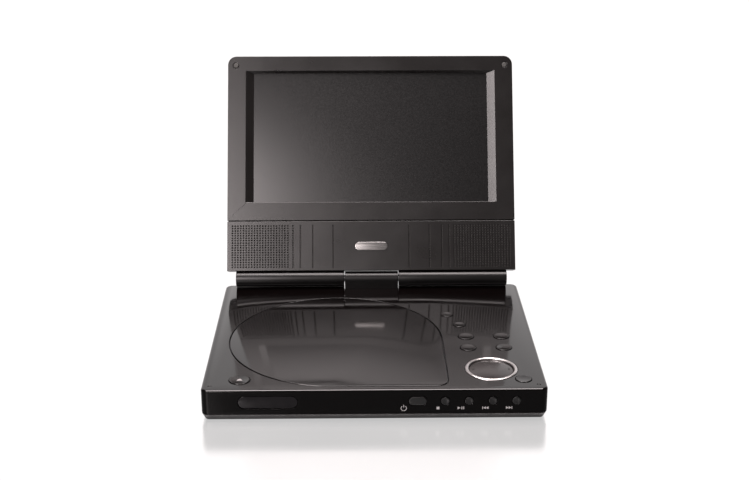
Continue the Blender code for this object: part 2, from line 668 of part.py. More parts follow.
def build_barrels(hinge, finish):
    """Each barrel carries a tongue that stands in the slot along the screen's lower edge."""
    front = 3.2 - SCREEN_AXIS[0]
    rear = SCREEN_SPLIT - SCREEN_AXIS[0]
    tip = 4.4 - SCREEN_AXIS[1]
    start = math.degrees(math.acos(front / BARREL_RADIUS))
    end = math.degrees(math.acos(rear / BARREL_RADIUS)) + 360
    profile = arc(0.0, 0.0, BARREL_RADIUS, start, end, 26) + [(rear, tip), (front, tip)]
    for side, name in ((-1, "barrel_left"), (1, "barrel_right")):
        ends = sorted((side * BARREL_INNER, side * BARREL_OUTER))
        barrel = add(name, shape((prism, profile, *ends, "X")), finish, hinge)
        bore = shape((prism, circle(0.0, 0.0, SHAFT_RADIUS + GAP, 16), side * 10, side * 41, "X"))
        combine(barrel, bore)


def clear_scene():
    for existing in list(bpy.data.objects):
        bpy.data.objects.remove(existing, do_unlink=True)


def main():
    clear_scene()
    deck = material("deck_gloss", (0.060, 0.052, 0.052), 0.12)
    black = material("case_black", (0.008, 0.008, 0.008), 0.10)
    grey = material("bottom_grey", (0.035, 0.033, 0.032), 0.45)
    inner = material("inner_black", (0.015, 0.015, 0.016), 0.55)
    key = material("key_satin", (0.075, 0.068, 0.068), 0.30)
    chrome = material("chrome_ring", (0.72, 0.70, 0.70), 0.12, 1.0)
    steel = material("steel", (0.50, 0.50, 0.50), 0.35, 1.0)
    brass = material("screw_brass", (0.60, 0.45, 0.22), 0.35, 1.0)
    rubber = material("rubber", (0.02, 0.02, 0.02), 0.85)
    smoke = material("smoke_window", (0.02, 0.016, 0.02), 0.06)
    lcd = material("lcd_face", (0.012, 0.012, 0.012), 0.18)
    white = material("diffuser_white", (0.75, 0.75, 0.73), 0.6)
    green = material("circuit_green", (0.02, 0.11, 0.05), 0.5)
    wrap = material("battery_wrap", (0.05, 0.06, 0.10), 0.5)
    lens = material("lens_glass", (0.25, 0.28, 0.42), 0.05)
    cone = material("speaker_cone", (0.03, 0.03, 0.03), 0.7)
    satin = material("badge_satin", (0.42, 0.41, 0.40), 0.3, 0.9)

    base = empty("base_frame", (0.0, -Y_CENTRE, 0.0))
    hinge = empty("screen_hinge", (0.0, *HINGE), base, -SCREEN_TILT)

    build_bottom_case(base, grey)
    build_feet_and_screws(base, rubber, steel)
    build_top_cover(base, deck)
    build_hinge_base(base, black, steel)
    build_sensor_window(base, smoke)
    build_jacks(base, inner)
    build_board_and_battery(base, green, wrap)
    build_disc_tray(base, inner)
    build_disc_cover(base, deck)
    build_latch_and_open_button(base, inner, key)
    build_drive(base, {"steel": steel, "black": inner, "brass": brass, "glass": lens})
    build_top_keys(base, key)
    build_dial(base, chrome, key, inner)
    build_front_keys(base, black)
    build_bezel(hinge, deck)
    build_speaker_panel(hinge, deck)
    build_screen_back(hinge, black)
    build_screen_inside(hinge, {"lcd": lcd, "white": white, "board": green, "speaker": cone,
                                "rubber": rubber, "satin": satin})
    build_barrels(hinge, black)


main()
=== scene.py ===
import json
import math

import bmesh
import bpy
from bpy.props import FloatProperty, FloatVectorProperty, PointerProperty
from mathutils import Matrix, Vector


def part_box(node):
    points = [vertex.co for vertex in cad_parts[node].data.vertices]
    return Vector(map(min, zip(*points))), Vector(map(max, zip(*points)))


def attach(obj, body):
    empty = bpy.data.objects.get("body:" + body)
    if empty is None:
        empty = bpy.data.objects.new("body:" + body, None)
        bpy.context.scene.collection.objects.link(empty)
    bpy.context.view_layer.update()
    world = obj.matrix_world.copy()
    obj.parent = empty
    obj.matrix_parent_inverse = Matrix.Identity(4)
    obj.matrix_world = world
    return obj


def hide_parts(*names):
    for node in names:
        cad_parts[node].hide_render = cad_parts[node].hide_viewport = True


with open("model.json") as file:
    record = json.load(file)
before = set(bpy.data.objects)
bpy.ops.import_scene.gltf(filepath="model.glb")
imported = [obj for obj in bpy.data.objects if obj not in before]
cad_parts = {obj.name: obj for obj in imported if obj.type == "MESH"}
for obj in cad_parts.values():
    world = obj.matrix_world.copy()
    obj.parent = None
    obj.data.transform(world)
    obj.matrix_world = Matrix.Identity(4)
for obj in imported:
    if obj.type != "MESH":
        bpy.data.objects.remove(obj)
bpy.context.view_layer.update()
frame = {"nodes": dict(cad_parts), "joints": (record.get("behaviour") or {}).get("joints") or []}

bl_info = {
    "name": "Disc Player",
    "version": (1, 0, 0),
    "blender": (4, 5, 0),
    "location": "3D View > Sidebar > Disc Player",
    "description": "Builds a portable disc player with a folding screen",
    "category": "Add Mesh",
}

# The finished surfaces of a portable disc player with a folding screen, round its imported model.
# Lengths in the modelling code are in millimetres.  Base pieces use X to the user's right, Y back
# from the deck's front edge and Z up from the surface the feet stand on.  Screen pieces use X,
# then depth behind the screen's face, then height above the screen's lower edge.
MM = 0.001


# ---- places taken from the frame --------------------------------------------------------------

def joint(name):
    return next(j for j in frame["joints"] if j["name"] == name)


DECK_LOW, DECK_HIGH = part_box("top_cover")
CASE_LOW, CASE_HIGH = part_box("bottom_case")
WIDTH = (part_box("screen_bezel")[1].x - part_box("screen_bezel")[0].x) / MM
BULGE = (DECK_HIGH.x - DECK_LOW.x) / MM / 2 - WIDTH / 2
FRONT_Y = DECK_LOW.y + BULGE * MM
DEPTH = (DECK_HIGH.y - FRONT_Y) / MM
TOP = DECK_HIGH.z / MM
SPLIT = (DECK_LOW.z + CASE_HIGH.z) / 2 / MM
FOOT_LIFT = CASE_LOW.z / MM
HINGE_POINT = Vector(joint("screen_tilt")["pos_m"])
LEAN = math.radians(-joint("screen_tilt")["range_deg"][0] - 90)


# ---- sizes of the base's pieces ---------------------------------------------------------------

WALL = 1.8
CEILING = TOP - WALL
GAP = 0.3
CASE_CORNER = 3.0
REAR_ROUND = 0.6
REAR_ROUND_INSIDE = 0.3
REST_DOTS = ((-91.6, 4.6), (91.6, 4.6))

WINDOW_SIZE = (33.0, 7.3)
POWER_KEY_SIZE = (10.0, 4.8)
FRONT_KEY_RADIUS = 2.3
FRONT_KEY_FACE = -BULGE - 0.38
SYMBOL_ROW = TOP - 11.3
SOCKET_BORES = {"headphone_jack": 1.8, "av_jack": 1.8, "dc_jack": 2.7}
KEY_SKIRT = 0.8
OPENER_SKIRT = 1.0
KEY_PROUD = 0.36
DIAL_RADIUS = 15.1
ARM_OFFSET = 8.0
WELL_RADIUS = 61.5
WELL_FLOOR = 10.2
KNUCKLE_RADIUS = 4.65


# ---- sizes of the screen's pieces -------------------------------------------------------------

AXIS_BEHIND_FACE = 4.7
AXIS_BELOW_EDGE = 4.85
SCREEN_HEIGHT = 143.8
SCREEN_THICK = 12.0
SCREEN_SPLIT = 7.5
SCREEN_CORNER = 5.8
BUMPER_PLACE = (89.7, 137.6)
BARREL_RADIUS = 5.2
PANEL_TOP = 32.7
BEZEL_BOTTOM = 33.3
# The slope round the display, as half width, low edge and high edge: at the face and at its foot.
VIEW_OUTER = (83.0, 45.4, 134.1)
VIEW_INNER = (77.7, 45.4, 132.4)


# ---- helpers that measure the frame -----------------------------------------------------------

BASE_PLACE = Matrix.Translation((0.0, FRONT_Y, 0.0)) @ Matrix.Scale(MM, 4)
SCREEN_PLACE = (Matrix.Translation(HINGE_POINT) @ Matrix.Rotation(-LEAN, 4, "X")
                @ Matrix.Scale(MM, 4)
                @ Matrix.Translation((0.0, -AXIS_BEHIND_FACE, AXIS_BELOW_EDGE)))


def base_point(world):
    """A point of the frame, in the base's own millimetres."""
    return BASE_PLACE.inverted() @ Vector(world)


def middle(node):
    """Centre of a CAD node's box, in the base's own millimetres."""
    low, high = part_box(node)
    return base_point((low + high) / 2)


def half_size(node):
    low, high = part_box(node)
    return (high - low) / 2 / MM


def cap_radius(node):
    """Radius of a deck key's cap, which is narrower than the skirt that holds it in."""
    return half_size(node).x - (OPENER_SKIRT if node == "open_button" else KEY_SKIRT)


SPINDLE = tuple(base_point(joint("turntable_spin")["pos_m"]))[:2]
COVER_RADIUS = (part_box("disc_cover")[1].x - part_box("disc_cover")[0].x) / 2 / MM
COVER_CORNER = 7.0
DIAL = tuple(middle("dial_ring"))[:2]
TOP_KEYS = ("key_display", "key_mode", "key_menu", "key_setup", "key_search", "key_return",
            "key_stop")
DECK_KEYS = TOP_KEYS + ("open_button",)
FRONT_KEYS = ("front_key_stop", "front_key_play", "front_key_back", "front_key_forward")
ENDS = ("front_left", "rear_left", "front_right", "rear_right")


# ---- settings ---------------------------------------------------------------------------------

def colour_setting(name, text, default):
    return FloatVectorProperty(name=name, description=text, default=default, subtype="COLOR",
                               size=3, min=0.0, max=1.0)


def length_setting(name, text, default):
    return FloatProperty(name=name, description=text, default=default, min=0.0, unit="LENGTH",
                         subtype="DISTANCE", precision=5)


class ShellSettings(bpy.types.PropertyGroup):
    """Colours and edges of the outer shells."""
    lacquer: colour_setting("Lacquer", "Colour of the deck and the screen's front",
                            (0.0009, 0.0006, 0.0006))
    screen: colour_setting("Screen front", "Colour of the frame round the display",
                           (0.0020, 0.0016, 0.0015))
    black: colour_setting("Black shell", "Colour of the sides, hinge and screen back",
                          (0.0014, 0.0013, 0.0013))
    under: colour_setting("Underside", "Colour of the bottom case", (0.003, 0.0024, 0.0022))
    edge: length_setting("Edge radius", "Rounding of the shells' edges", 0.00025)
    opening_edge: length_setting("Opening edge", "Rounding of the openings in the deck", 0.00022)


class ControlSettings(bpy.types.PropertyGroup):
    """Colours of the keys, the dial and the printed symbols."""
    key: colour_setting("Keys", "Colour of the round deck keys", (0.0014, 0.0010, 0.0010))
    pad: colour_setting("Dial pad", "Colour of the dial's domed pad", (0.026, 0.023, 0.023))
    ring: colour_setting("Dial ring", "Colour of the bright ring", (0.50, 0.48, 0.475))
    ink: colour_setting("Symbols", "Colour of the printed symbols", (0.26, 0.25, 0.25))


class ScreenSettings(bpy.types.PropertyGroup):
    """The display and the sound holes."""
    display: colour_setting("Display", "Colour of the switched-off display",
                            (0.0016, 0.0015, 0.0015))
    hole: length_setting("Hole size", "Diameter of a sound hole", 0.00126)
    pitch: length_setting("Hole spacing", "Distance between sound holes", 0.00182)
    recess: length_setting("Display recess", "Depth of the sloping frame", 0.0019)


class StageSettings(bpy.types.PropertyGroup):
    """Lights and camera."""
    overhead: FloatProperty(name="Overhead light", description="Power of the soft light above",
                            default=56.0, min=0.0, unit="POWER")
    backdrop: FloatProperty(name="Backdrop light", description="Power of the glow behind",
                            default=24.0, min=0.0, unit="POWER")
    side: FloatProperty(name="Front left light", description="Power of the soft light at the left",
                        default=24.0, min=0.0, unit="POWER")
    air: FloatProperty(name="Room light", description="Strength of the even light all round",
                       default=0.04, min=0.0)
    glow: FloatProperty(name="Floor glow", description="Light that the pale table gives by itself",
                        default=0.50, min=0.0)
    lens: FloatProperty(name="Lens", description="Focal length of the camera in millimetres",
                        default=61.86, min=10.0, max=300.0, unit="CAMERA")


# ---- outlines ---------------------------------------------------------------------------------

def arc(cx, cy, radius, start, end, steps):
    """Points on an arc, angles in degrees, both ends included."""
    points = []
    for i in range(steps + 1):
        angle = math.radians(start + (end - start) * i / steps)
        points.append((cx + radius * math.cos(angle), cy + radius * math.sin(angle)))
    return points


def circle(cx, cy, radius, steps=64):
    return arc(cx, cy, radius, 0, 360, steps)[:-1]


def rounded(x0, x1, y0, y1, low_radius, high_radius=None, steps=10):
    """A rectangle with round corners; low_radius is at y0, high_radius at y1."""
    high_radius = low_radius if high_radius is None else high_radius
    low = max(low_radius, 0.02)
    high = max(high_radius, 0.02)
    return (arc(x1 - low, y0 + low, low, -90, 0, steps)
            + arc(x1 - high, y1 - high, high, 0, 90, steps)
            + arc(x0 + high, y1 - high, high, 90, 180, steps)
            + arc(x0 + low, y0 + low, low, 180, 270, steps))


def stadium(cx, cy, length, height, steps=24):
    radius = height / 2
    reach = length / 2 - radius
    return (arc(cx + reach, cy, radius, -90, 90, steps)
            + arc(cx - reach, cy, radius, 90, 270, steps))


def quarter(steps):
    """Shares of a rounded edge's radius, inward and down, from its side up to its top."""
    angles = [math.radians(90 * i / steps) for i in range(steps + 1)]
    return [(1 - math.cos(angle), 1 - math.sin(angle)) for angle in angles]


def swung(centre, points, angle):
    """Points given as (outward, aside) from a centre, turned by an angle in degrees."""
    along, across = math.cos(math.radians(angle)), math.sin(math.radians(angle))
    return [(centre[0] + a * along - b * across, centre[1] + a * across + b * along)
            for a, b in points]


def cover_outline(grow=0.0, steps=160):
    """The disc cover: round, with a square front right corner."""
    cx, cy = SPINDLE
    radius = COVER_RADIUS + grow
    corner = COVER_CORNER + grow
    return (arc(cx, cy, radius, 0, 270, steps)
            + arc(cx + radius - corner, cy - radius + corner, corner, -90, 0, 14))


def case_outline(inset, rear_inset=None):
    """The base seen from above, drawn in by inset, and by rear_inset at the rear."""
    rear = inset if rear_inset is None else rear_inset
    half = WIDTH / 2 - inset
    return rounded(-half, half, inset, DEPTH - rear, CASE_CORNER - inset)


def screen_outline(inset=0.0, low=0.0, low_radius=0.8):
    half = WIDTH / 2 - inset
    return rounded(-half, half, low + inset, SCREEN_HEIGHT - inset, low_radius,
                   SCREEN_CORNER - inset)


def softened(points, radius, steps=5):
    """A polyline with each inner corner rounded."""
    out = [points[0]]
    for before, corner, after in zip(points, points[1:], points[2:]):
        here = Vector(corner)
        back = Vector(before) - here
        ahead = Vector(after) - here
        cut = min(radius, back.length * 0.45, ahead.length * 0.45)
        start = here + back.normalized() * cut
        end = here + ahead.normalized() * cut
        for i in range(steps + 1):
            t = i / steps
            point = start * (1 - t) ** 2 + here * (2 * t * (1 - t)) + end * t ** 2
            out.append(tuple(point))
    return out + [points[-1]]


# ---- solids -----------------------------------------------------------------------------------

def lay(outline, level, axis="Z"):
    """Place a flat outline: Z takes (x, y), Y takes (x, z) and X takes (y, z)."""
    if axis == "Z":
        return [(a, b, level) for a, b in outline]
    if axis == "Y":
        return [(a, level, b) for a, b in outline]
    return [(level, a, b) for a, b in outline]


def skin(bm, loops, closed=False):
    """Faces from each loop to the next, and from the last back to the first when closed."""
    following = loops[1:] + loops[:1] if closed else loops[1:]
    for low, high in zip(loops, following):
        for i, vert in enumerate(low):
            after = (i + 1) % len(low)
            bm.faces.new((vert, low[after], high[after], high[i]))


def loft(bm, rings):
    """Join rings of equal length into a closed skin, with a cap on the first and the last."""
    loops = [[bm.verts.new(point) for point in ring] for ring in rings]
    skin(bm, loops)
    bm.faces.new(loops[0])
    bm.faces.new(loops[-1])


def hoop(bm, profile, centre, axis="Z", steps=96):
    """A ring: turn a closed profile of (radius, level) about an axis through centre."""
    skin(bm, [[bm.verts.new(p) for p in lay(circle(*centre, radius, steps), level, axis)]
              for radius, level in profile], True)


def prism(bm, outline, low, high, axis="Z"):
    loft(bm, [lay(outline, low, axis), lay(outline, high, axis)])


def box(bm, x0, x1, y0, y1, z0, z1):
    prism(bm, [(x0, y0), (x1, y0), (x1, y1), (x0, y1)], z0, z1)


def turned(bm, profile, centre, axis="Z", steps=64):
    """Turn a profile of (radius, level) about an axis through centre; it starts and ends flat."""
    loft(bm, [lay(circle(*centre, radius, steps), level, axis) for radius, level in profile])


def shape(make, *arguments):
    bm = bmesh.new()
    make(bm, *arguments)
    return bm


def crowned(outline_at, levels, edge, axis="Z", steps=6):
    """Rings for a flat piece with a rounded far edge; outline_at(grow) gives its outline."""
    low, high = levels
    side = 1.0 if high > low else -1.0
    return [lay(outline_at(0.0), low, axis)] + [
        lay(outline_at(-edge * inward), high - side * edge * down, axis)
        for inward, down in quarter(steps)]


# ---- pieces -----------------------------------------------------------------------------------

def mesh_from(name, bm, place):
    bmesh.ops.recalc_face_normals(bm, faces=bm.faces[:])
    mesh = bpy.data.meshes.new(name)
    bm.to_mesh(mesh)
    bm.free()
    mesh.transform(place)
    return mesh


def piece(name, bm, finish, body, slot, *replaces, sharp=35.0):
    """Make a piece that rides on a body; finish names one finish, or several for its faces."""
    mesh = mesh_from(name, bm, SCREEN_PLACE if body == "screen" else BASE_PLACE)
    mesh.shade_smooth()
    mesh.set_sharp_from_angle(angle=math.radians(sharp))
    made = bpy.data.objects.new(name, mesh)
    bpy.context.scene.collection.objects.link(made)
    for one in finish if isinstance(finish, tuple) else (finish,):
        mesh.materials.append(finishes[one])
    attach(made, body)
    if replaces:
        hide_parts(*replaces)
    return made


def carve(made, bm, place=BASE_PLACE, operation="DIFFERENCE"):
    """Cut a tool out of a piece, or weld it on, and keep the result as the piece's mesh."""
    mesh = mesh_from("tool", bm, place)
    tool = bpy.data.objects.new("tool", mesh)
    bpy.context.scene.collection.objects.link(tool)
    boolean = made.modifiers.new("Carve", "BOOLEAN")
    boolean.operation = operation
    boolean.solver = "EXACT"
    boolean.object = tool
    bpy.context.view_layer.update()
    result = bpy.data.meshes.new_from_object(
        made.evaluated_get(bpy.context.evaluated_depsgraph_get()))
    made.modifiers.remove(boolean)
    made.data = result
    bpy.data.objects.remove(tool)


def round_edges(made, width, segments=3, angle=40.0):
    """Round the sharp edges, with flat faces kept flat in shading."""
    made.data.shade_smooth()
    made.data.set_sharp_from_angle(angle=math.radians(angle))
    bevel = made.modifiers.new("Edges", "BEVEL")
    bevel.width = width
    bevel.segments = segments
    bevel.limit_method = "ANGLE"
    bevel.angle_limit = math.radians(angle)
    bevel.harden_normals = True
    bevel.use_clamp_overlap = False
    bevel.miter_outer = "MITER_ARC"


def finish_cad(node, finish):
    """Give a carried-over CAD node its finish."""
    mesh = frame["nodes"][node].data
    if not mesh.materials:
        mesh.materials.append(finishes[finish])
    for i in range(len(mesh.materials)):
        mesh.materials[i] = finishes[finish]
    mesh.shade_smooth()
    mesh.set_sharp_from_angle(angle=math.radians(32))


# ---- finishes ---------------------------------------------------------------------------------

class Finish:
    """A Principled material and short calls for the nodes that give it detail."""

    def __init__(self, name, colour, roughness, metallic=0.0, ior=1.5):
        self.material = bpy.data.materials.new(name)
        self.material.use_nodes = True
        self.tree = self.material.node_tree
        self.shader = self.tree.nodes["Principled BSDF"]
        self.colour = (*colour, 1.0)
        self.shader.inputs["Base Color"].default_value = self.colour
        self.shader.inputs["Roughness"].default_value = roughness
        self.shader.inputs["Metallic"].default_value = metallic
        self.shader.inputs["IOR"].default_value = ior
        self.material.diffuse_color = self.colour
        self.position = self.tree.nodes.new("ShaderNodeTexCoord").outputs["Object"]

    def node(self, kind, **settings):
        made = self.tree.nodes.new(kind)
        for key, value in settings.items():
            setattr(made, key, value)
        return made

    def link(self, output, target):
        self.tree.links.new(output, target)

    def moved(self, offset, stretch=(1.0, 1.0, 1.0)):
        """Coordinates measured from a point of the frame, stretched along the axes."""
        mapping = self.node("ShaderNodeMapping")
        mapping.inputs["Location"].default_value = [-o * s for o, s in zip(offset, stretch)]
        mapping.inputs["Scale"].default_value = stretch
        self.link(self.position, mapping.inputs["Vector"])
        return mapping.outputs["Vector"]

    def noise(self, scale, detail=3.0, roughness=0.5, vector=None):
        made = self.node("ShaderNodeTexNoise")
        made.inputs["Scale"].default_value = scale
        made.inputs["Detail"].default_value = detail
        made.inputs["Roughness"].default_value = roughness
        self.link(vector or self.position, made.inputs["Vector"])
        return made.outputs["Fac"]

    def cells(self, scale, vector=None):
        made = self.node("ShaderNodeTexVoronoi")
        made.inputs["Scale"].default_value = scale
        self.link(vector or self.position, made.inputs["Vector"])
        return made

    def spread(self, value, low, high, start=0.3, end=0.7):
        """Map a texture's value on to a range."""
        made = self.node("ShaderNodeMapRange")
        made.inputs["From Min"].default_value = start
        made.inputs["From Max"].default_value = end
        made.inputs["To Min"].default_value = low
        made.inputs["To Max"].default_value = high
        self.link(value, made.inputs["Value"])
        return made.outputs["Result"]

    def vary_roughness(self, value, low, high):
        self.link(self.spread(value, low, high), self.shader.inputs["Roughness"])

    def vary_colour(self, value, other, amount=1.0):
        """Blend from the base colour towards another by a texture."""
        mix = self.node("ShaderNodeMix", data_type="RGBA")
        mix.inputs[6].default_value = self.colour
        mix.inputs[7].default_value = (*other, 1.0)
        self.link(self.spread(value, 0.0, amount), mix.inputs[0])
        self.link(mix.outputs[2], self.shader.inputs["Base Color"])

    def bump(self, value, strength, distance):
        made = self.node("ShaderNodeBump")
        made.inputs["Strength"].default_value = strength
        made.inputs["Distance"].default_value = distance
        self.link(value, made.inputs["Height"])
        self.link(made.outputs["Normal"], self.shader.inputs["Normal"])


def tinted(colour, factor):
    return tuple(min(1.0, channel * factor) for channel in colour)


def lacquered(name, colour, low=0.07, high=0.15, ior=1.5):
    """Glossy lacquer: very fine flake, slight handling haze and a trace of orange peel."""
    made = Finish(name, colour, low, ior=ior)
    made.vary_colour(made.cells(5200.0).outputs["Distance"], tinted(colour, 2.1), 0.8)
    made.vary_roughness(made.noise(38.0, 6.0, 0.6), low, high)
    made.bump(made.noise(650.0, 2.0), 0.035, 0.00002)
    return made.material


def moulded(name, colour, roughness=0.5, grain=2600.0, strength=0.25):
    """Spark-eroded plastic: fine even grain with slightly uneven sheen."""
    made = Finish(name, colour, roughness)
    made.vary_colour(made.noise(70.0, 5.0), tinted(colour, 1.5), 0.7)
    made.vary_roughness(made.noise(240.0, 4.0), roughness - 0.07, roughness + 0.09)
    made.bump(made.noise(grain, 3.0), strength, 0.00005)
    return made.material


def rubbery(name, colour):
    made = Finish(name, colour, 0.8)
    made.vary_colour(made.noise(420.0, 5.0), tinted(colour, 2.2), 0.8)
    made.bump(made.noise(3200.0, 3.0), 0.3, 0.00006)
    return made.material


def brushed(name, colour, stretch, roughness=0.3, metallic=1.0):
    """Metal with a drawn grain along the axis with the smallest stretch."""
    made = Finish(name, colour, roughness, metallic)
    grain = made.noise(1.0, 4.0, 0.65, made.moved((0.0, 0.0, 0.0), stretch))
    made.vary_colour(grain, tinted(colour, 0.72), 0.9)
    made.vary_roughness(grain, roughness - 0.08, roughness + 0.12)
    made.bump(grain, 0.12, 0.00002)
    return made.material


def spun(name, colour, centre, roughness, metallic=1.0):
    """Metal turned on a lathe: fine rings about a vertical axis through centre."""
    made = Finish(name, colour, roughness, metallic)
    rings = made.node("ShaderNodeTexWave", wave_type="RINGS", rings_direction="Z")
    rings.inputs["Scale"].default_value = 900.0
    rings.inputs["Distortion"].default_value = 3.0
    rings.inputs["Detail"].default_value = 3.0
    rings.inputs["Detail Scale"].default_value = 2.0
    made.link(made.moved(centre), rings.inputs["Vector"])
    made.vary_colour(rings.outputs["Fac"], tinted(colour, 0.78), 0.8)
    made.vary_roughness(rings.outputs["Fac"], roughness - 0.05, roughness + 0.08)
    made.bump(rings.outputs["Fac"], 0.08, 0.00002)
    return made.material


def plated(name, colour, low=0.06, high=0.17):
    made = Finish(name, colour, low, 1.0)
    made.vary_roughness(made.noise(160.0, 6.0, 0.7), low, high)
    made.vary_colour(made.noise(60.0, 3.0), tinted(colour, 0.88), 0.8)
    made.bump(made.noise(900.0, 3.0), 0.02, 0.00002)
    return made.material


def display_face(name, colour):
    """Switched-off display under an anti-glare film: a broad, slightly grainy sheen."""
    made = Finish(name, colour, 0.30)
    made.vary_colour(made.noise(60.0, 3.0), tinted(colour, 1.3), 0.6)
    made.vary_roughness(made.noise(900.0, 3.0), 0.29, 0.34)
    made.bump(made.noise(240.0, 2.0), 0.02, 0.00001)
    return made.material


def smoked(name, colour):
    made = Finish(name, colour, 0.12, ior=1.2)
    made.vary_roughness(made.noise(90.0, 5.0), 0.09, 0.16)
    made.vary_colour(made.noise(140.0, 2.0), tinted(colour, 1.8), 0.7)
    return made.material


def circuit(name):
    """Solder-masked board with pale tracks and pads."""
    made = Finish(name, (0.012, 0.085, 0.035), 0.42)
    tracks = made.node("ShaderNodeTexBrick")
    tracks.inputs["Color1"].default_value = (0.012, 0.085, 0.035, 1.0)
    tracks.inputs["Color2"].default_value = (0.016, 0.11, 0.045, 1.0)
    tracks.inputs["Mortar"].default_value = (0.06, 0.25, 0.11, 1.0)
    tracks.inputs["Scale"].default_value = 190.0
    tracks.inputs["Mortar Size"].default_value = 0.03
    made.link(made.position, tracks.inputs["Vector"])
    made.link(tracks.outputs["Color"], made.shader.inputs["Base Color"])
    made.bump(tracks.outputs["Fac"], 0.2, 0.00005)
    made.vary_roughness(made.noise(300.0), 0.35, 0.5)
    return made.material


def wrapped(name):
    made = Finish(name, (0.035, 0.045, 0.085), 0.4)
    made.vary_colour(made.noise(55.0, 5.0), (0.07, 0.085, 0.14), 0.9)
    made.vary_roughness(made.noise(120.0, 4.0), 0.3, 0.5)
    made.bump(made.noise(90.0, 5.0), 0.25, 0.0002)
    return made.material


def coated_lens(name):
    """Clear moulded lens with a violet-blue coating."""
    made = Finish(name, (0.16, 0.20, 0.45), 0.03, ior=1.6)
    made.shader.inputs["Transmission Weight"].default_value = 0.55
    made.vary_colour(made.noise(500.0), (0.42, 0.22, 0.50), 0.9)
    made.vary_roughness(made.noise(900.0), 0.02, 0.06)
    return made.material


def paper_cone(name):
    made = Finish(name, (0.022, 0.021, 0.020), 0.75)
    made.vary_colour(made.noise(1300.0, 4.0), (0.06, 0.058, 0.055), 0.8)
    made.bump(made.noise(1500.0, 4.0), 0.4, 0.0001)
    made.vary_roughness(made.noise(400.0), 0.65, 0.85)
    return made.material


def ink(name, colour):
    made = Finish(name, colour, 0.45)
    made.vary_colour(made.noise(2500.0, 3.0), tinted(colour, 0.75), 0.8)
    made.vary_roughness(made.noise(1500.0), 0.38, 0.55)
    return made.material


finishes = {}


def mix_finishes(scene):
    """Make every finish once, from the settings."""
    shell = scene.player_shell
    control = scene.player_control
    screen = scene.player_screen
    dial_centre = BASE_PLACE @ Vector((*DIAL, TOP))
    disc_centre = BASE_PLACE @ Vector((*SPINDLE, TOP))
    finishes.update({
        "lacquer": lacquered("brown black lacquer", shell.lacquer, 0.06, 0.11, 1.47),
        "screen_lacquer": lacquered("screen lacquer", shell.screen, 0.27, 0.32),
        "side": lacquered("side black", shell.black, 0.16, 0.24, 1.12),
        "gloss": lacquered("hinge black", shell.black, 0.30, 0.36, 1.36),
        "under": moulded("underside grey", shell.under, 0.42),
        "inner": moulded("inner black", (0.012, 0.012, 0.013), 0.5, 3000.0, 0.2),
        "key": lacquered("key face", control.key, 0.09, 0.14, 1.45),
        "pad": spun("dial pad", control.pad, dial_centre, 0.20, 0.25),
        "ring": plated("dial ring plating", control.ring, 0.26, 0.38),
        "ink": ink("symbol ink", control.ink),
        "display": display_face("display film", screen.display),
        "rubber": rubbery("foot rubber", (0.014, 0.014, 0.014)),
        "bumper": rubbery("bumper rubber", (0.020, 0.019, 0.018)),
        "steel": brushed("drawn steel", (0.48, 0.48, 0.49), (60.0, 2400.0, 2400.0)),
        "screw": plated("zinc plating", (0.42, 0.42, 0.44)),
        "brass": brushed("screw brass", (0.58, 0.44, 0.20), (4200.0, 300.0, 300.0), 0.28),
        "smoke": smoked("smoked window", (0.004, 0.0036, 0.004)),
        "circuit": circuit("circuit board"),
        "wrap": wrapped("battery wrap"),
        "lens": coated_lens("pickup lens"),
        "cone": paper_cone("speaker cone"),
        "diffuser": moulded("diffuser white", (0.72, 0.72, 0.70), 0.6, 1200.0, 0.1),
        "badge": brushed("badge plate", (0.28, 0.272, 0.268), (60.0, 60.0, 5200.0), 0.26),
        "hub": spun("hub black", (0.020, 0.020, 0.021), disc_centre, 0.35, 0.0),
    })


# ---- base shells ------------------------------------------------------------------------------

def build_deck(scene):
    """The top cover: a deep shell with openings for the disc cover, keys, dial and sockets."""
    foot = SPLIT + GAP / 2
    inner = [lay(case_outline(WALL, WALL + REAR_ROUND_INSIDE * inward),
                 CEILING - REAR_ROUND_INSIDE * down) for inward, down in reversed(quarter(6))]
    outer = [lay(case_outline(-BULGE * (1 - inward), REAR_ROUND * inward), TOP - BULGE * down)
             for inward, down in quarter(8)]
    bm = bmesh.new()
    loft(bm, inner + [lay(case_outline(WALL), foot), lay(case_outline(-BULGE, 0.0), foot)] + outer)
    deck = piece("deck", bm, ("lacquer", "side"), "base", "deck_gloss", "top_cover")
    carve(deck, deck_openings())
    carve(deck, wall_openings())
    for polygon in deck.data.polygons:
        polygon.material_index = 0 if polygon.normal.z > 0.6 else 1
    round_edges(deck, scene.player_shell.opening_edge)


def deck_openings():
    """Tools for the openings in the deck's top, and the two small rest dots."""
    low, high = CEILING - 3, TOP + 3
    tools = bmesh.new()
    prism(tools, cover_outline(0.5), low, high)
    for node in DECK_KEYS:
        centre = middle(node)
        prism(tools, circle(centre.x, centre.y, cap_radius(node) + 0.35), low, high)
    prism(tools, circle(*DIAL, DIAL_RADIUS + 0.15, 96), low, high)
    for dot in REST_DOTS:
        turned(tools, [(0.95, TOP - 0.35), (1.0, TOP + 1)], dot, "Z", 24)
    return tools


def wall_openings():
    """Tools for the window, the front keys, the sockets and the hinge's notch."""
    span = (-BULGE - 2, WALL + 1, "Y")
    tools = bmesh.new()
    for node, (length, height) in (("sensor_window", WINDOW_SIZE), ("power_key", POWER_KEY_SIZE)):
        centre = middle(node)
        prism(tools, stadium(centre.x, centre.z, length + 0.5, height + 0.5), *span)
    for node in FRONT_KEYS:
        centre = middle(node)
        prism(tools, circle(centre.x, centre.z, FRONT_KEY_RADIUS + 0.25, 40), *span)
    for node in SOCKET_BORES:
        centre = middle(node)
        prism(tools, circle(centre.y, centre.z, 3.5, 40), 90, 99, "X")
    half = half_size("hinge_knuckle").x + GAP
    box(tools, -half, half, 147.3, 162, TOP - 5, TOP + 4)
    return tools


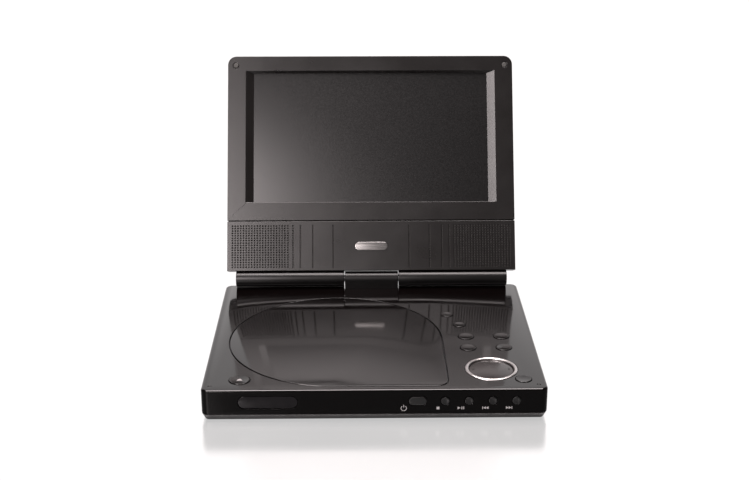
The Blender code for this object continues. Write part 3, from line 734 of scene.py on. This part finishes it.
def build_bottom(scene):
    """The bottom case: a shallow tray with a leaning edge, foot recesses, vents and a door."""
    rim = SPLIT - GAP / 2
    bm = bmesh.new()
    loft(bm, [lay(case_outline(3.6), 2.6), lay(case_outline(3.6), rim),
              lay(case_outline(-BULGE, 0.0), rim), lay(case_outline(0.7), FOOT_LIFT)])
    bottom = piece("bottom_shell", bm, "under", "base", "bottom_grey", "bottom_case")
    holes = bmesh.new()
    for end in ENDS:
        centre = middle(f"case_screw_{end}")
        turned(holes, [(2.8, 0.0), (2.8, 2.0)], (centre.x, centre.y), "Z", 40)
        centre = middle(f"foot_{end}")
        prism(holes, circle(centre.x, centre.y, 5.8, 48), 0.0, 1.4)
    for i in range(12):
        vent = [(20.0 + 3.6 * i - b, 104.0 + a) for a, b in stadium(0.0, 0.0, 22.0, 1.6, 10)]
        prism(holes, vent, 0.0, 1.7)
    carve(bottom, holes)
    carve(bottom, shape(prism, rounded(-70.0, 8.0, 118.0, 136.0, 3.0), 0.0, 1.2))
    carve(bottom, shape(prism, rounded(-69.3, 7.3, 118.7, 135.3, 2.4), FOOT_LIFT, 2.0),
          operation="UNION")
    round_edges(bottom, scene.player_shell.edge)


def build_feet():
    for end in ENDS:
        centre = middle(f"foot_{end}")
        side = softened([(4.2, 0.0), (5.1, 0.0), (5.5, 0.7), (5.5, 1.1)], 0.35)
        foot = shape(turned, [(3.0, 0.12), (3.8, 0.0)] + side[1:], (centre.x, centre.y), "Z", 56)
        piece(f"rubber_foot_{end}", foot, "rubber", "base", "rubber", f"foot_{end}")


def build_screws():
    """Pan heads with a cross recess, and their shanks."""
    arm, half = 1.35, 0.28
    for end in ENDS:
        x, y, _ = middle(f"case_screw_{end}")
        profile = [(0.8, 0.97)] + softened([(1.6, 1.0), (2.5, 1.25), (2.5, 1.7), (1.1, 1.7),
                                            (1.1, 9.0)], 0.25, 3)
        screw = piece(f"screw_{end}", shape(turned, profile, (x, y), "Z", 40), "screw", "base",
                      "steel", f"case_screw_{end}")
        cross = []
        for turn in range(4):
            cross += swung((x, y), ((half, -half), (arm, -half), (arm, half)), 90 * turn)
        carve(screw, shape(prism, cross, 0.5, 1.5))


def build_window():
    centre = middle("sensor_window")
    length, height = WINDOW_SIZE

    def outline(grow):
        return stadium(centre.x, centre.z, length + 2 * grow, height + 2 * grow)
    window = shape(loft, crowned(outline, (WALL, 0.06 - BULGE), 0.35, "Y"))
    piece("infrared_window", window, "smoke", "base", "smoke_window", "sensor_window")


def build_sockets():
    face = WIDTH / 2 + BULGE
    for node, bore in SOCKET_BORES.items():
        centre = middle(node)
        spot = (centre.y, centre.z)
        collar = softened([(3.3, 88.0), (3.3, face - 0.25), (bore + 0.5, face - 0.25),
                           (bore, face - 0.8), (bore, 84.0)], 0.25)
        socket = shape(turned, collar, spot, "X", 48)
        piece(f"{node}_socket", socket, "inner", "base", "inner_black", node)
        lining = softened([(bore + 0.5, face - 0.6), (bore + 0.5, face - 0.14),
                           (bore + 0.02, face - 0.2), (bore - 0.05, face - 1.0)], 0.15)
        piece(f"{node}_rim", shape(hoop, lining, spot, "X", 48), "screw", "base", "steel")
    centre = middle("dc_jack")
    pin = softened([(0.65, 84.2), (0.65, 93.0), (0.1, 93.4)], 0.3)
    piece("power_pin", shape(turned, pin, (centre.y, centre.z), "X", 32), "screw", "base", "steel")


INSIDE = {
    "steel": ("hinge_shaft_left", "hinge_shaft_right", "drive_chassis", "guide_rod",
              "spindle_motor", "feed_motor"),
    "circuit": ("main_board", "screen_board"),
    "wrap": ("battery_pack",),
    "diffuser": ("backlight_unit",),
    "inner": ("cover_latch", "dial_plunger", "dial_gimbal"),
    "cone": ("speaker_left", "speaker_right"),
}


def build_inside():
    """Pieces that only show through openings, if at all, keep their CAD shape."""
    for finish, nodes in INSIDE.items():
        for node in nodes:
            finish_cad(node, finish)


# ---- disc bay ---------------------------------------------------------------------------------

def build_disc_cover():
    """Flush cover with a softly rounded edge, two bent arms at its hinge and ribs underneath."""
    edge = 0.3
    rings = [lay(cover_outline(-1.0), CEILING)]
    rings += [lay(cover_outline(-0.15 - edge * inward), TOP - edge * down)
              for inward, down in quarter(6)]
    piece("disc_lid", shape(loft, rings), "lacquer", "disc_cover", "deck_gloss", "disc_cover")
    pivot = base_point(joint("disc_cover_swing")["pos_m"])
    path = [(-7.2, 2.2), (-7.2, -3.0), (-6.2, -4.0), (1.1, -4.0)] + arc(0, 0, 1.1, 0, 180, 12)
    path += [(-1.1, -2.2), (-5.7, -2.2), (-5.7, 2.2)]
    arms = bmesh.new()
    for side in (-1, 1):
        x = SPINDLE[0] + side * ARM_OFFSET
        prism(arms, [(pivot.y + a, pivot.z + b) for a, b in path], x - 1.4, x + 1.4, "X")
    piece("disc_lid_arms", arms, "inner", "disc_cover", "inner_black")
    ribs = bmesh.new()
    low, high = CEILING - 0.5, CEILING + 0.2
    for near in (20.0, 40.0):
        far = near + 1.0
        hoop(ribs, [(near, low), (far, low), (far, high), (near, high)], SPINDLE)
    piece("disc_lid_ribs", ribs, "inner", "disc_cover", "inner_black")


def build_disc_well(scene):
    """The well under the disc, its slot for the pickup and its notches for the cover's arms."""
    cx, cy = SPINDLE
    rim = CEILING - GAP
    well = piece("disc_well", shape(prism, cover_outline(1.4), rim - 1.2, rim), "inner", "base",
                 "inner_black", "disc_tray")
    carve(well, shape(turned, [(63.0, rim - 0.4), (63.0, 9.0)], SPINDLE, "Z", 128),
          operation="UNION")
    carve(well, shape(turned, [(WELL_RADIUS, WELL_FLOOR), (WELL_RADIUS, TOP)], SPINDLE, "Z", 128))
    cuts = bmesh.new()
    prism(cuts, circle(cx, cy, 14.9, 64), 5, 11)
    box(cuts, cx - 61.2, cx - 17.0, cy - 6.5, cy + 6.5, 5, 11)
    carve(well, cuts)
    notches = bmesh.new()
    for side in (-1, 1):
        x = cx + side * ARM_OFFSET
        box(notches, x - 1.8, x + 1.8, 124.0, 138.5, WELL_FLOOR + 0.1, TOP)
    carve(well, notches)
    round_edges(well, scene.player_shell.edge)
    ledge = shape(hoop, [(60.2, 10.15), (61.6, 10.15), (61.6, 10.7), (60.4, 10.5)], SPINDLE)
    piece("disc_well_ledge", ledge, "inner", "base", "inner_black")


def build_turntable():
    """Disc table with a raised hub, a felt ring and three balls that grip the disc."""
    profile = softened([(13.2, 9.5), (14.0, 9.7), (14.0, 11.6), (13.0, 11.6), (7.3, 11.6),
                        (7.3, 13.4), (6.2, 14.8), (3.0, 15.4), (0.4, 15.4)], 0.4)
    piece("disc_table", shape(turned, profile, SPINDLE, "Z", 96), "hub", "turntable",
          "inner_black", "turntable")
    felt = shape(hoop, [(9.0, 11.55), (13.4, 11.55), (13.2, 11.75), (9.2, 11.75)], SPINDLE)
    piece("disc_table_pad", felt, "rubber", "turntable", "inner_black")
    balls = bmesh.new()
    for turn in range(3):
        x, y = swung(SPINDLE, [(6.9, 0.0)], 90 + 120 * turn)[0]
        bmesh.ops.create_icosphere(balls, subdivisions=3, radius=0.95,
                                   matrix=Matrix.Translation((x, y, 13.4)))
    piece("disc_table_balls", balls, "screw", "turntable", "steel")


def build_pickup():
    finish_cad("pickup_sled", "inner")
    x, y, _ = middle("pickup_lens")
    holder = softened([(2.6, 6.9), (3.2, 7.0), (3.2, 9.2), (2.5, 9.75), (1.75, 9.75),
                       (1.6, 9.5)], 0.2)
    piece("lens_holder", shape(turned, holder, (x, y), "Z", 48), "inner", "pickup_lens",
          "inner_black", "pickup_lens")
    dome = [(1.7 * math.cos(math.radians(a)), 9.5 + 0.65 * math.sin(math.radians(a)))
            for a in range(0, 90, 9)]
    piece("lens_dome", shape(turned, dome, (x, y), "Z", 48), "lens", "pickup_lens", "lens_glass")


def build_lead_screw():
    """A shaft with flat-topped threads, two to each turn of the feed."""
    axis = base_point(joint("lead_screw_turn")["pos_m"])
    start, end = [base_point(corner).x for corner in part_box("lead_screw")]
    profile = [(0.9, start)]
    for i in range(int((end - start) / 3.0) * 2):
        level = start + 1.5 * i + 0.4
        profile += [(1.25, level), (1.25, level + 0.55), (0.95, level + 0.8)]
    profile = [p for p in profile if p[1] < end] + [(0.9, end)]
    piece("feed_thread", shape(turned, profile, (axis.y, axis.z), "X", 28), "brass",
          "lead_screw", "screw_brass", "lead_screw")


# ---- keys -------------------------------------------------------------------------------------

def key_profile(radius, foot, crown, dish):
    """Side of a round key from its foot up over a soft shoulder to a faintly hollow face."""
    shoulder = softened([(radius - 0.25, foot), (radius, foot + 0.3), (radius, crown),
                         (radius - 0.55, crown), (radius * 0.4, crown - dish)], 0.28, 6)
    return shoulder + [(radius * 0.12, crown - dish * 1.15)]


def build_deck_keys():
    for node in TOP_KEYS:
        x, y, _ = middle(node)
        profile = key_profile(cap_radius(node), CEILING - 0.8, TOP + KEY_PROUD, 0.22)
        piece(f"{node}_cap", shape(turned, profile, (x, y), "Z", 64), "key", node, "key_satin",
              node)


def build_open_button():
    """The larger key that releases the disc cover, with a triangle over a bar."""
    x, y, _ = middle("open_button")
    profile = key_profile(cap_radius("open_button"), CEILING - 1.6, TOP + KEY_PROUD, 0.3)
    piece("open_button_cap", shape(turned, profile, (x, y), "Z", 80), "key", "open_button",
          "key_satin", "open_button")
    low, high = TOP + 0.02, TOP + 0.15
    mark = bmesh.new()
    prism(mark, [(x - 1.5, y - 0.1), (x + 1.5, y - 0.1), (x, y + 1.5)], low, high)
    box(mark, x - 1.5, x + 1.5, y - 1.0, y - 0.55, low, high)
    piece("open_button_mark", mark, "ink", "open_button", "badge_satin")


def symbol_outlines(kind, x, z):
    """Generic player symbols as flat outlines about a centre."""
    def tri(left, width, height):
        tip = left + width
        return [(x + left, z - height), (x + tip, z), (x + left, z + height)]

    def bar(left, width, height):
        return [(x + left, z - height), (x + left + width, z - height),
                (x + left + width, z + height), (x + left, z + height)]
    if kind == "stop":
        return [bar(-0.8, 1.6, 0.8)]
    if kind == "play":
        return [tri(-2.3, 1.7, 0.85), bar(-0.15, 0.5, 0.85), bar(0.85, 0.5, 0.85)]
    if kind == "forward":
        return [tri(-1.7, 1.5, 0.85), tri(-0.2, 1.5, 0.85), bar(1.4, 0.4, 0.85)]
    return [[(x - a + x, b) for a, b in outline] for outline in symbol_outlines("forward", x, z)]


def build_front_keys():
    for node in FRONT_KEYS:
        centre = middle(node)
        profile = softened([(FRONT_KEY_RADIUS, WALL + 0.6), (FRONT_KEY_RADIUS, FRONT_KEY_FACE),
                            (1.75, FRONT_KEY_FACE), (0.9, FRONT_KEY_FACE + 0.18)], 0.3, 6)
        profile.append((0.3, FRONT_KEY_FACE + 0.21))
        piece(f"{node}_cap", shape(turned, profile, (centre.x, centre.z), "Y", 48), "gloss",
              node, "case_black", node)
    centre = middle("power_key")
    length, height = POWER_KEY_SIZE

    def outline(grow):
        return stadium(centre.x, centre.z, length + 2 * grow, height + 2 * grow)
    key = shape(loft, crowned(outline, (WALL + 0.6, FRONT_KEY_FACE), 0.45, "Y"))
    piece("power_key_cap", key, "gloss", "power_key", "case_black", "power_key")


def build_front_symbols():
    """Printed symbols under the front keys and beside the power key."""
    printed = bmesh.new()
    for node, kind in zip(FRONT_KEYS, ("stop", "play", "back", "forward")):
        for outline in symbol_outlines(kind, middle(node).x - 4.1, SYMBOL_ROW):
            print_symbol(printed, outline)
    x, z = middle("power_key").x - 7.8, SYMBOL_ROW
    print_symbol(printed, arc(x, z, 1.7, 125, 415, 36) + arc(x, z, 1.35, 415, 125, 36))
    print_symbol(printed, [(x - 0.18, z + 0.5), (x + 0.18, z + 0.5), (x + 0.18, z + 2.1),
                           (x - 0.18, z + 2.1)])
    piece("front_symbols", printed, "ink", "base", "badge_satin")


def print_symbol(bm, outline):
    """Set a thin outline into the front wall, just proud of it."""
    prism(bm, outline, -BULGE - 0.03, 0.1 - BULGE, "Y")


# ---- dial -------------------------------------------------------------------------------------

def build_dial():
    """A bright ring in the deck, and a shallow domed pad with four direction marks."""
    ring = softened([(12.98, CEILING - 0.4), (12.98, TOP + 0.15), (13.5, TOP + 0.48),
                     (14.5, TOP + 0.48), (DIAL_RADIUS, TOP + 0.1), (DIAL_RADIUS, CEILING - 0.4)],
                    0.35, 7)
    piece("dial_bright_ring", shape(hoop, ring, DIAL, "Z", 128), "ring", "base", "chrome_ring",
          "dial_ring")
    reach, crown, sphere = 12.1, 0.4, 80
    radii = [reach - 11.8 * i / 24 for i in range(25)]
    dome = [(3.0, TOP - 2.2), (12.3, TOP - 2.2), (12.6, TOP - 1.9), (12.6, TOP - 0.75),
            (12.45, TOP - 0.6)] + [(x, TOP + crown - x ** 2 / (2 * sphere)) for x in radii]
    piece("dial_dome", shape(turned, dome, DIAL, "Z", 128), "pad", "dial_pad", "key_satin",
          "dial_pad")
    marks = bmesh.new()
    for turn in range(4):
        tip = swung(DIAL, ((10.9, 0.0), (9.7, 0.95), (9.7, -0.95)), 90 * turn)
        prism(marks, tip, TOP - 0.7, TOP - 0.14)
    piece("dial_marks", marks, "gloss", "dial_pad", "key_satin")


# ---- hinge ------------------------------------------------------------------------------------

def build_hinge():
    """The fixed knuckle, and a barrel each side that turns with the screen."""
    axis = base_point(HINGE_POINT)
    half = half_size("hinge_knuckle").x
    root = TOP - 4.6
    outline = ([(DEPTH - 0.3, root)] + arc(axis.y, axis.z, KNUCKLE_RADIUS, -60, 180, 48)
               + [(axis.y - KNUCKLE_RADIUS, root)])
    knuckle = piece("knuckle", shape(prism, outline, -half, half, "X"), "gloss", "base",
                    "case_black", "hinge_knuckle")
    round_edges(knuckle, 0.00025, 4)
    centre = (AXIS_BEHIND_FACE, -AXIS_BELOW_EDGE)
    for side, name in ((-1, "barrel_left"), (1, "barrel_right")):
        inner, outer = sorted(abs(corner.x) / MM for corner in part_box(name))
        profile = softened([(1.2, inner - 0.2), (BARREL_RADIUS, inner - 0.2),
                            (BARREL_RADIUS, outer), (0.5, outer)], 0.4, 6)
        barrel = shape(turned, [(radius, side * level) for radius, level in profile], centre,
                       "X", 80)
        piece(f"{name}_tube", barrel, "gloss", "screen", "case_black", name)
        ends = sorted((side * (inner + 0.6), side * (outer - 0.6)))
        tongue = shape(box, *ends, 3.2, SCREEN_SPLIT, -AXIS_BELOW_EDGE, 4.4)
        piece(f"{name}_tongue", tongue, "gloss", "screen", "case_black")


# ---- screen -----------------------------------------------------------------------------------

def build_bezel(scene):
    """Front frame of the display, with a wall that slopes in to the panel."""
    recess = scene.player_screen.recess / MM
    bumper_x, bumper_z = BUMPER_PLACE
    body = shape(prism, screen_outline(0.0, BEZEL_BOTTOM, 0.3), 0.0, SCREEN_SPLIT, "Y")
    bezel = piece("display_frame", body, "screen_lacquer", "screen", "deck_gloss", "screen_bezel")
    pocket = rounded(-WIDTH / 2 + WALL, WIDTH / 2 - WALL, 35.5, SCREEN_HEIGHT - WALL, 0.2, 4.0)
    carve(bezel, shape(prism, pocket, recess, 20, "Y"), SCREEN_PLACE)
    rings = []
    for level in (-0.6, recess + 0.6):
        share = 1.0 - level / recess
        half, low, high = [a + (b - a) * share for a, b in zip(VIEW_INNER, VIEW_OUTER)]
        rings.append(lay(rounded(-half, half, low, high, 0.3, None, 3), level, "Y"))
    view = shape(loft, rings)
    for side in (-1, 1):
        prism(view, circle(side * bumper_x, bumper_z, 2.0, 40), -2, 4, "Y")
    carve(bezel, view, SCREEN_PLACE)
    round_edges(bezel, scene.player_shell.edge, 3, 14.0)


def build_bumpers():
    """A soft stud in each top corner, which meets the base when the screen is shut."""
    x, z = BUMPER_PLACE
    face = -0.44
    profile = softened([(1.7, 1.5), (1.7, -0.15), (1.2, face), (0.5, face)], 0.35, 6)
    for side, name in ((-1, "left"), (1, "right")):
        stud = shape(turned, profile + [(0.1, face)], (side * x, z), "Y", 40)
        piece(f"bumper_stud_{name}", stud, "bumper", "screen", "rubber", f"bumper_{name}")


def build_display(scene):
    recess = scene.player_screen.recess / MM

    def outline(grow):
        return rounded(-81.5 - grow, 81.5 + grow, 42.0 - grow, 137.0 + grow, 1.0)
    panel = shape(loft, crowned(outline, (4.3, recess + 0.15), 0.3, "Y"))
    piece("display_panel", panel, "display", "screen", "lcd_face", "lcd_panel")


def build_screen_back():
    """Rear shell with a broad soft edge."""
    front = SCREEN_SPLIT + GAP
    edge = 2.2
    rings = [lay(screen_outline(0.2), front, "Y"), lay(screen_outline(0.0), front + 0.15, "Y")]
    rings += [lay(screen_outline(edge * inward), SCREEN_THICK - edge * down, "Y")
              for inward, down in quarter(10)]
    piece("screen_rear_shell", shape(loft, rings), "gloss", "screen", "case_black", "screen_back")


def hole_columns(pitch):
    """Distances of the hole columns from the screen's middle, on one side."""
    first = 91.5
    columns = [first - pitch * i for i in range(18)]
    place = columns[-1]
    for widening in (1.0, 1.0, 1.12, 1.82, 2.66, 4.5, 7.4):
        place -= pitch * widening
        columns.append(place)
    return columns


def build_speaker_panel(scene):
    """The panel under the display, with real sound holes thinning out towards its middle."""
    pitch = scene.player_screen.pitch / MM
    radius = scene.player_screen.hole / MM / 2
    one_side = hole_columns(pitch)
    columns = [-c for c in one_side] + list(reversed(one_side))
    rise = pitch * 0.88
    rows = [2.4 + rise * i for i in range(18)]
    x_edges = span_edges(columns, pitch, -WIDTH / 2, WIDTH / 2)
    z_edges = span_edges(rows, rise, 0.0, PANEL_TOP)
    bm = bmesh.new()
    grid = {}

    def corner(i, j):
        if (i, j) not in grid:
            grid[i, j] = bm.verts.new((x_edges[i][0], 0.0, z_edges[j][0]))
        return grid[i, j]
    for i in range(len(x_edges) - 1):
        for j in range(len(z_edges) - 1):
            corners = [corner(i, j), corner(i + 1, j), corner(i + 1, j + 1), corner(i, j + 1)]
            if x_edges[i][1] is None or z_edges[j][1] is None:
                bm.faces.new(corners)
            else:
                sound_hole(bm, corners, x_edges[i][1], z_edges[j][1], radius)
    close_block(bm, grid, len(x_edges), len(z_edges), SCREEN_SPLIT)
    panel = piece("speaker_grille_panel", bm, ("screen_lacquer", "cone"), "screen", "deck_gloss",
                  "speaker_panel", sharp=30.0)
    round_rim(panel, scene.player_shell.edge)


def round_rim(panel, width):
    """Round only the outer rim of the panel's face, and leave the holes sharp."""
    weights = panel.data.attributes.new("bevel_weight_edge", "FLOAT", "EDGE")
    inverse = SCREEN_PLACE.inverted()
    for edge in panel.data.edges:
        ends = [inverse @ panel.data.vertices[v].co for v in edge.vertices]
        on_face = all(abs(p.y) < 0.01 for p in ends)
        on_rim = (all(abs(abs(p.x) - WIDTH / 2) < 0.01 for p in ends)
                  or all(p.z < 0.01 for p in ends) or all(p.z > PANEL_TOP - 0.01 for p in ends))
        weights.data[edge.index].value = 1.0 if on_face and on_rim else 0.0
    bevel = panel.modifiers.new("Edges", "BEVEL")
    bevel.width = width
    bevel.segments = 3
    bevel.limit_method = "WEIGHT"
    bevel.use_clamp_overlap = False
    bevel.harden_normals = True


def span_edges(centres, pitch, low, high):
    """Cell edges along one axis, each with the hole centre of the cell that it starts."""
    edges = [(low, None)]
    for centre in sorted(centres):
        start, end = centre - pitch / 2, centre + pitch / 2
        if abs(edges[-1][0] - start) < 0.05:
            edges[-1] = (edges[-1][0], centre)
        else:
            edges.append((max(start, edges[-1][0] + 0.001), centre))
        edges.append((end, None))
    edges.append((high, None))
    return edges


def sound_hole(bm, corners, x, z, radius, depth=1.3, steps=12):
    """Faces of one cell: its face round a blind hole, the hole's wall and its floor."""
    ring = [bm.verts.new((a, 0.0, b)) for a, b in arc(x, z, radius, 225, 585, steps)[:-1]]
    floor = [bm.verts.new((a, depth, b)) for a, b in arc(x, z, radius, 225, 585, steps)[:-1]]
    quarter = steps // 4
    for side in range(4):
        start = side * quarter
        inner = [ring[(start + k) % steps] for k in range(quarter + 1)]
        bm.faces.new([corners[side], corners[(side + 1) % 4]] + list(reversed(inner)))
    inside = [bm.faces.new(floor)]
    for k in range(steps):
        after = (k + 1) % steps
        inside.append(bm.faces.new((ring[k], ring[after], floor[after], floor[k])))
    for face in inside:
        face.material_index = 1


def close_block(bm, grid, columns, rows, depth):
    """Carry the rim of the holed face straight back and close it."""
    rim = ([grid[i, 0] for i in range(columns)] + [grid[columns - 1, j] for j in range(1, rows)]
           + [grid[i, rows - 1] for i in range(columns - 2, -1, -1)]
           + [grid[0, j] for j in range(rows - 2, 0, -1)])
    back = [bm.verts.new((v.co.x, depth, v.co.z)) for v in rim]
    for k, vert in enumerate(rim):
        after = (k + 1) % len(rim)
        bm.faces.new((vert, rim[after], back[after], back[k]))
    bm.faces.new(back)


def build_badge():
    """A plain satin plate in the middle of the speaker panel."""
    def outline(grow):
        return stadium(0.0, 16.0, 21.5 + 2 * grow, 5.5 + 2 * grow)
    plate = shape(loft, crowned(outline, (0.6, -0.3), 0.25, "Y"))
    piece("blank_plate", plate, "badge", "screen", "badge_satin", "badge")


# ---- stage ------------------------------------------------------------------------------------

def area_light(name, power, size, place, target, colour):
    data = bpy.data.lights.new(name, "AREA")
    data.shape = "RECTANGLE"
    data.size, data.size_y = size
    data.energy = power
    data.color = colour
    made = bpy.data.objects.new(name, data)
    bpy.context.scene.collection.objects.link(made)
    made.location = place
    made.rotation_euler = (Vector(target) - Vector(place)).to_track_quat("-Z", "Y").to_euler()
    return made


def build_floor(scene):
    floor = Finish("pale floor", (0.06, 0.06, 0.06), 0.2, ior=4.6)
    floor.shader.inputs["Emission Color"].default_value = (1.0, 1.0, 1.0, 1.0)
    floor.shader.inputs["Emission Strength"].default_value = scene.player_stage.glow
    floor.vary_roughness(floor.noise(9.0, 3.0), 0.17, 0.23)
    reach = 6000.0
    mesh = mesh_from("floor", shape(box, -reach, reach, -reach, reach, -4.0, 0.0), BASE_PLACE)
    mesh.materials.append(floor.material)
    ground = bpy.data.objects.new("floor", mesh)
    scene.collection.objects.link(ground)


def build_lights(scene):
    settings = scene.player_stage
    world = bpy.data.worlds.new("studio")
    world.use_nodes = True
    air = world.node_tree.nodes["Background"]
    air.inputs["Color"].default_value = (1.0, 1.0, 1.0, 1.0)
    air.inputs["Strength"].default_value = settings.air
    scene.world = world
    warm = (1.0, 0.91, 0.905)
    area_light("overhead", settings.overhead, (1.2, 0.8), (0.0, 0.14, 1.35), (0.0, 0.14, 0.0), warm)
    area_light("backdrop", settings.backdrop, (4.4, 1.5), (0.0, 1.75, 0.70), (0.0, 0.0, 0.70),
               (1.0, 0.96, 0.96))
    area_light("front_left", settings.side, (0.5, 0.7), (-0.56, -1.10, 0.60), (0.0, 0.05, 0.08),
               warm)


def build_camera(scene):
    """A camera in front of the player, looking 20 degrees down on it."""
    camera = bpy.data.cameras.new("camera")
    camera.lens = scene.player_stage.lens
    camera.sensor_width = 36.0
    camera.clip_start = 0.05
    made = bpy.data.objects.new("camera", camera)
    scene.collection.objects.link(made)
    made.location = BASE_PLACE @ Vector((-9.0, -640.8, TOP + 321.3))
    made.rotation_euler = (math.radians(90 - 20.03), 0.0, math.radians(-0.82))
    scene.camera = made
    scene.view_settings.view_transform = "Standard"


# ---- operators --------------------------------------------------------------------------------

class PLAYER_OT_finishes(bpy.types.Operator):
    """Mix the finishes from the settings"""
    bl_idname = "player.finishes"
    bl_label = "Finishes"

    def execute(self, context):
        mix_finishes(context.scene)
        return {"FINISHED"}


class PLAYER_OT_stage(bpy.types.Operator):
    """Set the floor, the lights and the camera"""
    bl_idname = "player.stage"
    bl_label = "Stage"

    def execute(self, context):
        build_floor(context.scene)
        build_lights(context.scene)
        build_camera(context.scene)
        return {"FINISHED"}


class PLAYER_OT_base(bpy.types.Operator):
    """Build the deck, bottom case, feet, screws, window, sockets and inside pieces"""
    bl_idname = "player.base"
    bl_label = "Base"

    def execute(self, context):
        build_deck(context.scene)
        build_bottom(context.scene)
        build_feet()
        build_screws()
        build_window()
        build_sockets()
        build_inside()
        return {"FINISHED"}


class PLAYER_OT_disc_bay(bpy.types.Operator):
    """Build the disc cover, the disc well, the turntable, the pickup and its lead screw"""
    bl_idname = "player.disc_bay"
    bl_label = "Disc Bay"

    def execute(self, context):
        build_disc_cover()
        build_disc_well(context.scene)
        build_turntable()
        build_pickup()
        build_lead_screw()
        return {"FINISHED"}


class PLAYER_OT_keys(bpy.types.Operator):
    """Build the deck keys, the open button, the front keys and their symbols"""
    bl_idname = "player.keys"
    bl_label = "Keys"

    def execute(self, context):
        build_deck_keys()
        build_open_button()
        build_front_keys()
        build_front_symbols()
        return {"FINISHED"}


class PLAYER_OT_dial(bpy.types.Operator):
    """Build the navigation dial"""
    bl_idname = "player.dial"
    bl_label = "Dial"

    def execute(self, context):
        build_dial()
        return {"FINISHED"}


class PLAYER_OT_hinge(bpy.types.Operator):
    """Build the hinge knuckle and barrels"""
    bl_idname = "player.hinge"
    bl_label = "Hinge"

    def execute(self, context):
        build_hinge()
        return {"FINISHED"}


class PLAYER_OT_screen(bpy.types.Operator):
    """Build the screen's shells, bumpers, display, speaker panel and plate"""
    bl_idname = "player.screen"
    bl_label = "Screen"

    def execute(self, context):
        build_bezel(context.scene)
        build_bumpers()
        build_display(context.scene)
        build_screen_back()
        build_speaker_panel(context.scene)
        build_badge()
        return {"FINISHED"}


OPERATORS = (PLAYER_OT_finishes, PLAYER_OT_stage, PLAYER_OT_base, PLAYER_OT_disc_bay,
             PLAYER_OT_keys, PLAYER_OT_dial, PLAYER_OT_hinge, PLAYER_OT_screen)


class PLAYER_PT_panel(bpy.types.Panel):
    """Lists the steps that build the player"""
    bl_idname = "PLAYER_PT_panel"
    bl_label = "Disc Player"
    bl_space_type = "VIEW_3D"
    bl_region_type = "UI"
    bl_category = "Disc Player"

    def draw(self, context):
        for operator in OPERATORS:
            self.layout.operator(operator.bl_idname)


SETTINGS = (ShellSettings, ControlSettings, ScreenSettings, StageSettings)
CLASSES = SETTINGS + OPERATORS + (PLAYER_PT_panel,)


def register():
    for made in CLASSES:
        bpy.utils.register_class(made)
    bpy.types.Scene.player_shell = PointerProperty(type=ShellSettings)
    bpy.types.Scene.player_control = PointerProperty(type=ControlSettings)
    bpy.types.Scene.player_screen = PointerProperty(type=ScreenSettings)
    bpy.types.Scene.player_stage = PointerProperty(type=StageSettings)


def unregister():
    for name in ("player_shell", "player_control", "player_screen", "player_stage"):
        delattr(bpy.types.Scene, name)
    for made in reversed(CLASSES):
        bpy.utils.unregister_class(made)


def main():
    register()
    bpy.ops.player.finishes()
    bpy.ops.player.stage()
    bpy.ops.player.base()
    bpy.ops.player.disc_bay()
    bpy.ops.player.keys()
    bpy.ops.player.dial()
    bpy.ops.player.hinge()
    bpy.ops.player.screen()


if __name__ == "__main__":
    main()
